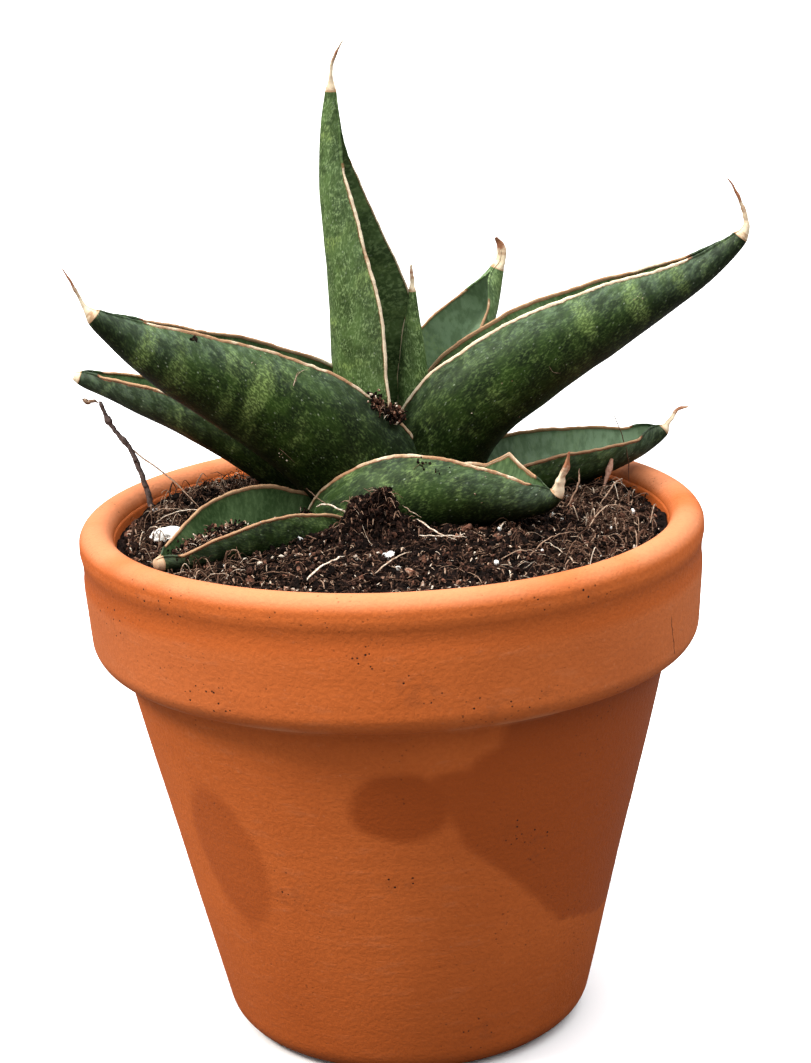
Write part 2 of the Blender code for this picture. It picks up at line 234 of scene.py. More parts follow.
# blot: one ragged oval patch, 0 to 1; coordinates in millimetres over the skin
blot, source, result = newGroup(
    "blot",
    [("Vector", "NodeSocketVector", None), ("Centre", "NodeSocketVector", (0, 0, 0)),
     ("Reach", "NodeSocketVector", (1, 1, 1))],
    [("Mask", "NodeSocketFloat")],
)
away = addNode(blot, "ShaderNodeVectorMath", operation="SUBTRACT")
shrunk = addNode(blot, "ShaderNodeVectorMath", operation="DIVIDE")
tatter = addNode(blot, "ShaderNodeTexNoise", {"Scale": 0.55, "Detail": 4.0, "Roughness": 0.65})
wobbled = addNode(blot, "ShaderNodeVectorMath", operation="ADD")
level = addNode(blot, "ShaderNodeVectorMath", {1: (0.5, 0.5, 0.5)}, operation="SUBTRACT")
reach = addNode(blot, "ShaderNodeVectorMath", operation="LENGTH")
fade = addNode(blot, "ShaderNodeMapRange", {1: 1.3, 2: 0.5, 3: 0.0, 4: 1.0}, interpolation_type="SMOOTHSTEP")
join(blot, (source["Vector"], away.inputs[0]), (source["Centre"], away.inputs[1]),
     (away.outputs[0], shrunk.inputs[0]), (source["Reach"], shrunk.inputs[1]),
     (source["Vector"], tatter.inputs["Vector"]), (shrunk.outputs[0], wobbled.inputs[0]),
     (tatter.outputs["Color"], level.inputs[0]), (level.outputs[0], wobbled.inputs[1]),
     (wobbled.outputs[0], reach.inputs[0]), (reach.outputs["Value"], fade.inputs[0]),
     (fade.outputs[0], result["Mask"]))
print("node groups ready")

clay = {
    # the darkest clay colour serves damp stains, painted shadow and painted shade
    "dry": (0.60, 0.142, 0.030), "dull": (0.47, 0.100, 0.019), "dampAndShade": (0.345, 0.066, 0.010),
    # the pale clay colour serves lime, wear and a painted highlight
    "speck": (0.045, 0.014, 0.007), "limeAndHighlight": (0.80, 0.42, 0.24), "soiled": (0.10, 0.040, 0.022),
    "roughness": 0.72, "crackAt": 1.007, "crackTop": 0.0818, "crackFoot": 0.0735, "crackLean": 5.9,
    "crackWander": 0.016,
    # layers in the order they are laid: strength and colour
    "layers": {"rings": (0.07, "dull"), "fine": (0.20, "dampAndShade"), "scuffs": (0.05, "limeAndHighlight"),
               "chalk": (0.14, "limeAndHighlight"),
               "dampAndShade": (0.92, "dampAndShade"), "limeAndHighlight": (0.4, "limeAndHighlight"), "smudge": (0.16, "soiled")},
}


def clayMaterial():
    made, tree, shader = newMaterial("terracotta", clay["roughness"], **{"Specular IOR Level": 0.12})
    place = addNode(tree, "ShaderNodeTexCoord").outputs["Object"]

    def stretched(x, y, z):
        mapping = addNode(tree, "ShaderNodeMapping", {"Scale": (x, y, z)})
        join(tree, (place, mapping.inputs["Vector"]))
        return mapping.outputs[0]

    def clouds(vector, scale, detail, low, high):
        return useGroup(tree, patches, vector, Scale=scale, Detail=detail, Low=low, High=high)

    def dots(scale, size):
        return useGroup(tree, grains, place, **{"Scale": scale, "Dot size": size})

    broad = clouds(place, 30.0, 5.0, 0.35, 0.7)
    where = clouds(place, 70.0, 3.0, 0.50, 0.66)
    specks = remap(tree, dots(1000.0, 0.32), 0.20, 0.42)
    pores = dots(950.0, 0.26)
    dirt = readLayer(tree, "dirt")
    masks = {
        "rings": clouds(stretched(0.10, 0.10, 3.0), 230.0, 6.0, 0.35, 0.7),
        "fine": clouds(place, 1300.0, 4.0, 0.35, 0.65),
        "scuffs": clouds(stretched(0.45, 0.45, 1.6), 330.0, 4.0, 0.55, 0.72),
        "chalk": dots(640.0, 0.20),
        # the pot's darkening layer: damp stains together with painted shadow and painted shade
        "dampAndShade": readLayer(tree, "dampAndShade"),
        # lime deposits together with a painted highlight on the lip and painted light on the band's sides
        "limeAndHighlight": readLayer(tree, "limeAndHighlight"),
        "smudge": times(tree, dirt, clouds(place, 420.0, 4.0, 0.48, 0.62)),
    }
    color = mixColor(tree, times(tree, broad, 0.55), clay["dry"], clay["dull"])
    for key, (strength, tone) in clay["layers"].items():
        color = mixColor(tree, times(tree, masks[key], strength), color, clay[tone])
    # hairline crack in the band
    parts = addNode(tree, "ShaderNodeSeparateXYZ")
    join(tree, (place, parts.inputs[0]))
    sideways = minus(tree, parts.outputs[0], float(potAxis[0] * mm))
    angle = math1(tree, "ARCTAN2", sideways, times(tree, parts.outputs[1], -1.0))
    wander = addNode(tree, "ShaderNodeTexNoise", {"Scale": 700.0, "Detail": 3.0})
    join(tree, (place, wander.inputs["Vector"]))
    below = minus(tree, clay["crackTop"], parts.outputs[2])
    path = scaled(tree, below, clay["crackLean"], clay["crackAt"] - clay["crackWander"] / 2)
    path = plus(tree, path, times(tree, wander.outputs["Fac"], clay["crackWander"]))
    off = math1(tree, "ABSOLUTE", minus(tree, angle, path))
    foot, top = clay["crackFoot"], clay["crackTop"]
    inside = times(tree, remap(tree, parts.outputs[2], foot, foot + mm),
                   remap(tree, parts.outputs[2], top, top - mm))
    crack = times(tree, remap(tree, off, 0.0032, 0.0012), inside)
    often = plus(tree, times(tree, where, 0.40), times(tree, dirt, 1.6))
    dark = times(tree, specks, plus(tree, often, 0.05), clamp=True)
    dark = plus(tree, dark, times(tree, pores, 0.16), clamp=True)
    dark = math1(tree, "MAXIMUM", dark, times(tree, crack, 0.8))
    color = mixColor(tree, dark, color, clay["speck"])
    join(tree, (color, shader.inputs["Base Color"]))
    join(tree, (minus(tree, clay["roughness"], times(tree, masks["dampAndShade"], 0.16)),
                shader.inputs["Roughness"]))
    height = plus(tree, times(tree, masks["fine"], 0.5), times(tree, masks["rings"], 0.18))
    height = plus(tree, height, times(tree, masks["scuffs"], 0.18))
    height = minus(tree, height, times(tree, dark, 1.5))
    bumpFrom(tree, shader, height, 0.6, 0.00013)
    return made


leafColors = {
    # the darkest green here is painted shade for the leaf's underside
    "deep": (0.0050, 0.0125, 0.0016), "green": (0.023, 0.050, 0.0065), "keelShadeColor": (0.0034, 0.0072, 0.0010),
    "mottle": (0.128, 0.205, 0.058), "mottleLit": (0.285, 0.400, 0.170), "band": (0.230, 0.330, 0.095),
    "scale": (0.40, 0.46, 0.34),
    # the bloom colour is partly a painted sheen
    "lifted": (0.108, 0.182, 0.055), "bloomAndSheen": (0.205, 0.290, 0.195),
    # the grey inside colour is partly a painted sky reflection
    "inside": (0.130, 0.205, 0.085), "insideDeep": (0.030, 0.062, 0.018), "insideBloomAndReflection": (0.30, 0.42, 0.27),
    "cream": (0.87, 0.75, 0.54), "tan": (0.46, 0.28, 0.155), "brown": (0.11, 0.035, 0.018),
    "rust": (0.29, 0.095, 0.045), "roughness": 0.50,
}


def leafMaterial(name, paleness=1.0, bandness=1.0, brownness=0.4, insidePale=1.0, insideBloomAndReflection=0.0,
                 keelShade=0.9, lift=0.0, bloomAndSheen=0.37, tipEnd="brown", tipRed=0, tipTan=0.0, baseShade=(1, 0),
                 crossBands=()):
    c = leafColors
    made, tree, shader = newMaterial(name, c["roughness"], **{"Specular IOR Level": 0.12})
    across, along, edge, inner, dry = (readLayer(tree, n) for n in ("across", "along", "edge", "inner",
                                                                    "dry"))
    skin = addNode(tree, "ShaderNodeCombineXYZ")  # skin coordinates, in millimetres over the leaf
    join(tree, (across, skin.inputs[0]), (along, skin.inputs[1]),
         (times(tree, inner, 37.0), skin.inputs[2]))  # the channel gets a pattern of its own

    def stretched(x, y):
        mapping = addNode(tree, "ShaderNodeMapping", {"Scale": (x, y, 1.0)})
        join(tree, (skin.outputs[0], mapping.inputs["Vector"]))
        return mapping.outputs[0]

    def mottling(x, y, scale, detail, low, high):
        return useGroup(tree, patches, stretched(x, y), Scale=scale, Detail=detail, Low=low, High=high)

    def laid(mask, strength, key, clamp=False):
        return mixColor(tree, times(tree, mask, strength, clamp), color, c[key])

    bands = mottling(0.55, 1.0, 0.17, 4.0, 0.50, 0.64)
    clouds = mottling(1.0, 0.7, 0.30, 4.0, 0.35, 0.68)
    mid = mottling(1.0, 0.6, 0.80, 3.0, 0.42, 0.60)
    fine = mottling(1.0, 0.5, 3.0, 3.5, 0.46, 0.60)
    fray = mottling(0.4, 1.0, 1.1, 4.0, 0.3, 0.7)
    scales = useGroup(tree, grains, stretched(1.0, 0.7), **{"Scale": 1.0, "Dot size": 0.17})
    color = mixColor(tree, clouds, c["deep"], c["green"])
    color = laid(scaled(tree, clouds, 0.6, 0.4), lift, "lifted")
    # painted shade: the underside darker along the keel, with fewer flecks where it is shaded
    under = times(tree, remap(tree, math1(tree, "ABSOLUTE", across), 14.0, 2.0), keelShade)
    # painted shade towards the leaf's foot, down among the leaves
    under = math1(tree, "MAXIMUM", under, times(tree, remap(tree, along, *baseShade), 0.8))
    color = mixColor(tree, under, color, c["keelShadeColor"])
    fleck = minus(tree, 1.0, times(tree, under, 0.65))
    speckle = times(tree, fine, scaled(tree, mid, 0.65, 0.22))
    speckle = times(tree, speckle, fleck)
    litMottle = mixColor(tree, lift, c["mottle"], c["mottleLit"])
    color = mixColor(tree, times(tree, speckle, 0.66 * paleness, clamp=True), color, litMottle)
    patchy = times(tree, bands, scaled(tree, mid, 0.7, 0.2))
    patchy = times(tree, patchy, scaled(tree, fine, 0.7, 0.3))
    patchy = times(tree, patchy, fleck)
    color = laid(patchy, 0.85 * bandness, "band", True)
    for centreX, centreY, halfX, halfY, strength in crossBands:
        spot = useGroup(tree, blot, skin.outputs[0], Centre=(centreX, centreY, 0), Reach=(halfX, halfY, 20))
        dashes = times(tree, scaled(tree, fine, 0.75, 0.25), strength)
        color = laid(spot, dashes, "band", True)
    # a grey waxy bloom along the upper edges, partly a painted sheen in place of the highlight, stronger
    # towards the leaf's top
    sheenHaze = times(tree, remap(tree, edge, 8.0, 0.3), scaled(tree, mid, 0.5, 0.25))
    sheenHaze = times(tree, sheenHaze, remap(tree, along, 12.0, 55.0, 0.35, 1.0))
    color = laid(sheenHaze, bloomAndSheen, "bloomAndSheen")
    color = laid(scales, 0.7, "scale")
    lining = mixColor(tree, plus(tree, times(tree, clouds, 0.5), times(tree, fine, 0.25)),
                      c["insideDeep"], c["inside"])
    # grey-green pallor in the channel: a waxy bloom plus a painted sky reflection
    reflectedPallor = times(tree, scaled(tree, mid, 0.45, 0.6), insideBloomAndReflection)
    lining = mixColor(tree, reflectedPallor, lining, c["insideBloomAndReflection"])
    lining = mixColor(tree, times(tree, patchy, 0.5), lining, c["band"])
    color = mixColor(tree, times(tree, inner, insidePale), color, lining)
    # papery margin: a cream line, browner in places, with a thin rusty line where it meets the green
    ragged = times(tree, minus(tree, fray, 0.5), 0.16)
    reach = plus(tree, edge, ragged)
    brownPlus, brownMinus = brownness if isinstance(brownness, tuple) else (brownness, brownness)
    aged = remap(tree, across, -0.1, 0.1, brownMinus, brownPlus)
    low = minus(tree, 0.62, times(tree, aged, 0.45))
    stainCloud = addNode(tree, "ShaderNodeTexNoise", {"Scale": 0.13, "Detail": 5.0, "Roughness": 0.6})
    join(tree, (stretched(0.2, 1.0), stainCloud.inputs["Vector"]))
    stained = remap(tree, minus(tree, stainCloud.outputs["Fac"], low), 0.0, 0.16)
    paper = mixColor(tree, stained, c["cream"], c["tan"])
    paper = mixColor(tree, times(tree, mid, 0.30), paper, c["rust"])
    color = laid(remap(tree, reach, 0.50, 0.34), 0.65, "rust")
    color = mixColor(tree, remap(tree, reach, 0.30, 0.20), color, paper)
    # dry tip: cream at its foot, browner to the end
    dried = ramp(tree, plus(tree, dry, times(tree, ragged, 0.9)), [
        (0.0, c["tan"]), (0.22, c["tan"]), (0.30, c["cream"]), (0.55, c["cream"]), (0.75, c["rust"]),
        (1.0, c[tipEnd])])
    dried = mixColor(tree, tipTan, dried, c["tan"])
    dried = mixColor(tree, times(tree, fray, 0.45), dried, c["tan"])
    isDry = remap(tree, plus(tree, dry, times(tree, ragged, 0.5)), 0.12, 0.17)
    redSide = remap(tree, across, 0.3 * tipRed, 1.2 * tipRed) if tipRed else 0.0
    dried = mixColor(tree, times(tree, redSide, 0.8), dried, c["rust"])
    color = mixColor(tree, isDry, color, dried)
    join(tree, (color, shader.inputs["Base Color"]))
    papery = math1(tree, "MAXIMUM", remap(tree, reach, 0.30, 0.20), isDry)
    waxy = minus(tree, c["roughness"] + 0.08, times(tree, clouds, 0.12))
    join(tree, (plus(tree, waxy, times(tree, papery, 0.35)), shader.inputs["Roughness"]))
    height = plus(tree, times(tree, fine, 0.35), times(tree, scales, 0.6))
    height = plus(tree, height, times(tree, fray, times(tree, papery, 1.2)))
    bumpFrom(tree, shader, height, 0.35, 0.00010)
    return made


def crumbMaterial(name, stops, roughness=0.95, bump=0.6):
    made, tree, shader = newMaterial(name, roughness, **{"Specular IOR Level": 0.06})
    place = addNode(tree, "ShaderNodeTexCoord").outputs["Object"]
    fine = useGroup(tree, patches, place, Scale=2400.0, Detail=4.0, Low=0.3, High=0.7)
    tone = plus(tree, readLayer(tree, "shade"), times(tree, minus(tree, fine, 0.5), 0.3))
    join(tree, (ramp(tree, tone, stops), shader.inputs["Base Color"]))
    bumpFrom(tree, shader, fine, bump, 0.0001)
    return made


clayPaint = clayMaterial()
soilPaint = crumbMaterial("soilMix", [(0.0, (0.003, 0.002, 0.0015)), (0.30, (0.015, 0.008, 0.006)),
                                      (0.55, (0.090, 0.042, 0.028)), (0.75, (0.215, 0.092, 0.056)),
                                      (0.9, (0.36, 0.24, 0.17)), (1.0, (0.62, 0.52, 0.42))])
fibrePaint = crumbMaterial("coirFibre", [(0.0, (0.022, 0.011, 0.007)), (0.4, (0.115, 0.060, 0.038)),
                                         (0.7, (0.29, 0.18, 0.12)), (0.88, (0.48, 0.36, 0.26)),
                                         (1.0, (0.76, 0.66, 0.54))], 0.8, 0.3)
perlitePaint = crumbMaterial("perliteGrain", [(0.0, (0.45, 0.42, 0.36)), (0.5, (0.78, 0.76, 0.70)),
                                              (1.0, (0.92, 0.91, 0.88))], 0.9, 0.8)
print("materials ready")

pot = {
    "bandFoot": (53.7, 70.4), "neck": 48.6, "foot": 32.0, "innerTop": 48.9, "floor": 6.5, "drain": 5.0,
    "around": 260, "step": 0.9, "wobble": 0.16, "innerLip": 2.5, "grooveFoot": 9.5,
    # (in from the rim, down from the top, fillet) of the lip and the groove under it
    "lip": [(0, 0, 2.9), (0, 4.5, 3.5), (0.5, 6.1, 2.5), (0.5, 8.5, 2.0), (0.3, 9.5, 3.0)],
}
innerSlope = (pot["neck"] - pot["foot"]) / pot["bandFoot"][1]
# dark patches on the outside: the three at the front are painted leaf shadow, the two at the back are damp
# stains; (angle, height) of the centre, half width in degrees, half height, tilt, depth
dampAndShadowPatches = [
    (-46.5, 41.0, 10.5, 12.0, 0.45, 0.62), (0.0, 55.5, 11.5, 6.3, 0.0, 1.0),
    (11.0, 58.5, 7.0, 4.0, 0.0, 0.9),
    (150.0, 44.0, 24.0, 14.0, 0.3, 0.7), (-130.0, 58.0, 20.0, 9.0, -0.2, 0.7),
]
# foot line of the big painted shade wedge over the right side: height to angle
wedgeLine = [(21.0, 100.0), (23.0, 67.0), (27.0, 41.0), (35.0, 31.0), (43.0, 21.5), (51.6, 11.5),
             (57.0, 12.0),
             (61.0, 14.5), (65.0, 20.0), (72.0, 23.0)]
# dirty places: (angle, height, half width in degrees, half height)
dirtSpots = [
    (2.8, 79, 5, 3), (16.4, 75, 5, 3), (26, 74.5, 5, 3), (-5, 85, 5, 2.5), (-35, 75, 6, 3), (26.5, 48, 6, 4),
    (32.6, 44, 5, 4), (-1.3, 41, 5, 3), (-29, 37, 5, 4), (20, 8.5, 6, 4), (-44, 91, 17, 2.6),
    (-18, 91, 13, 1.8),
    (25, 91, 16, 1.4), (-60, 84, 8, 3), (120, 80, 14, 5), (-150, 60, 16, 8), (-100, 30, 12, 10),
]


def wallRadius(z):
    return pot["innerTop"] - innerSlope * (potHeight - pot["innerLip"] - z)


def roundedProfile(corners):
    # corners (radius, height, fillet) to a polyline with arcs
    points = []
    for i, (x, z, fillet) in enumerate(corners):
        here = np.array([x, z], float)
        if not fillet:
            points.append(here)
            continue
        before = unit(np.array(corners[i - 1][:2], float) - here)
        after = unit(np.array(corners[(i + 1) % len(corners)][:2], float) - here)
        half = math.acos(float(np.clip(before @ after, -1, 1))) / 2
        centre = here + unit(before + after) * fillet / math.sin(half)
        start = here + before * fillet / math.tan(half) - centre
        end = here + after * fillet / math.tan(half) - centre
        angle = math.pi - 2 * half
        for t in np.linspace(0, 1, 14):
            arc = math.sin((1 - t) * angle) * start + math.sin(t * angle) * end
            points.append(centre + arc / math.sin(angle))
    return np.array(points)


def evenly(points, step):
    closedLine = np.vstack([points, points[:1]])
    run = np.concatenate([[0], np.cumsum(np.linalg.norm(np.diff(closedLine, axis=0), axis=1))])
    at = np.linspace(0, run[-1], int(run[-1] / step), endpoint=False)
    at = np.unique(np.concatenate([at, run[:-1]]).round(3))
    at = at[np.concatenate([[True], np.diff(at) > 0.12])]
    return np.stack([np.interp(at, run, closedLine[:, i]) for i in (0, 1)], axis=1)


def buildPot():
    drain, floor, bandFoot = pot["drain"], pot["floor"], pot["bandFoot"]
    lip = [(rimRadius - inward, potHeight - down, fillet) for inward, down, fillet in pot["lip"]]
    profile = evenly(roundedProfile(lip + [
        (bandFoot[0], bandFoot[1], 4.4), (pot["neck"], bandFoot[1], 0.6), (pot["foot"], 0, 6.0),
        (drain + 1, 0, 0.8), (drain, 1.2, 0.8), (drain, floor - 1, 0.8), (drain + 1, floor, 0.8),
        (wallRadius(floor), floor, 4.0), (pot["innerTop"], potHeight - pot["innerLip"], 0),
        (pot["innerTop"] + 0.2, potHeight, 2.9)]), pot["step"])
    angles = np.linspace(-math.pi, math.pi, pot["around"], endpoint=False)
    radius, height = profile[:, :1], profile[:, 1:]
    outside = radius > wallRadius(height) + 1.5
    radial = np.array([[noiseAt(2.2 * math.sin(a), 2.2 * math.cos(a), z / 22) for a in angles]
                       for z in height[:, 0]]) * pot["wobble"]
    ridges = np.array([noiseAt(z / 1.3, 4.2, 0) + 0.6 * noiseAt(z / 0.5, 9.1, 0)
                       for z in height[:, 0]])[:, None] * 0.035
    inner = np.array([noiseAt(z / 2.4, 1.7, 3) for z in height[:, 0]])[:, None] * 0.12
    flat = ease(0.2, 3.0, height) * np.ones((1, len(angles)))
    swell = (radial + np.where(outside, ridges, inner)) * flat
    r = radius + swell
    points = np.stack([r * np.sin(angles), -r * np.cos(angles), height * np.ones_like(r)], axis=-1)
    degrees = np.degrees(angles)[None, :]
    ragged = np.array([[noise.fractal(Vector((a * 0.035, z * 0.06, 5)), 0.9, 2.0, 4) for a in degrees[0]]
                       for z in height[:, 0]])
    # darkening laid into the clay's colour: damp stains, painted leaf shadow and painted shade
    dampAndShade, dirt = np.zeros_like(r), np.zeros_like(r)
    # painted leaf shadow patches at the front, damp stains at the back
    for angle, level, wide, tall, tilt, depth in dampAndShadowPatches:
        u = ((degrees - angle + 180) % 360 - 180) / wide
        v = (height - level) / tall + u * tilt * wide / tall * 0.6
        dampAndShade = np.maximum(dampAndShade, depth * ease(1.22, 0.90, np.sqrt(u * u + v * v) + ragged * 0.20))
    # the wedge: painted shade over the right side of the pot
    line = np.interp(height[:, 0], *zip(*wedgeLine))[:, None]
    wedge = ease(line - 1.6, line + 1.6, degrees + ragged * 3.0) * ease(20.5, 23.5, height)
    wedge = wedge * ease(122, 96, degrees)
    dampAndShade = np.maximum(dampAndShade, wedge * 0.92)
    dampAndShade *= outside & (height < bandFoot[1] + 0.5)
    fromTop = potHeight - height
    # inner wall darker below the lip, and the outside darker towards the foot
    dampAndShade = np.maximum(dampAndShade, 0.5 * (~outside) * ease(1.0, 4.5, fromTop) * (height > 80))
    dampAndShade = np.maximum(dampAndShade, 0.50 * outside * ease(32, 3, height))
    # painted shade in the groove under the lip
    recessShade = 0.40 * outside * ease(4.6, 5.8, fromTop) * ease(10.4, 8.6, fromTop)
    dampAndShade = np.maximum(dampAndShade, recessShade + 0 * r)
    for angle, level, wide, tall in dirtSpots:
        u, v = ((degrees - angle + 180) % 360 - 180) / wide, (height - level) / tall
        dirt = np.maximum(dirt, ease(1.2, 0.3, np.sqrt(u * u + v * v) + ragged * 0.5))
    dirt *= outside
    limeAndHighlight = np.exp(-((height - 70.9) / 0.8) ** 2) * outside * np.clip(0.4 + ragged * 2.5, 0, 1)
    # the lip's crest paler: partly a worn rim, partly a painted highlight
    limeAndHighlight = np.maximum(limeAndHighlight, 0.8 * ease(2.6, 0.7, fromTop) * np.clip(0.8 + ragged, 0, 1))
    # the band paler toward its left and right sides: painted light
    onBand = outside * ease(bandFoot[1] + 1, bandFoot[1] + 3,
                            height) * (height < potHeight - pot["grooveFoot"])
    limeAndHighlight = np.maximum(limeAndHighlight, 0.30 * onBand * np.sin(angles) ** 2)
    faces = gridFaces(len(profile), len(angles))
    last = (len(profile) - 1) * len(angles)
    faces += [(last + j, j, (j + 1) % len(angles), last + (j + 1) % len(angles)) for j in range(len(angles))]
    layers = {"dampAndShade": dampAndShade, "limeAndHighlight": limeAndHighlight + 0 * r, "dirt": dirt}
    piece = meshPiece("clayPot", points.reshape(-1, 3), faces, clayPaint, layers)
    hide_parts("pot")


buildPot()
print("pot built")

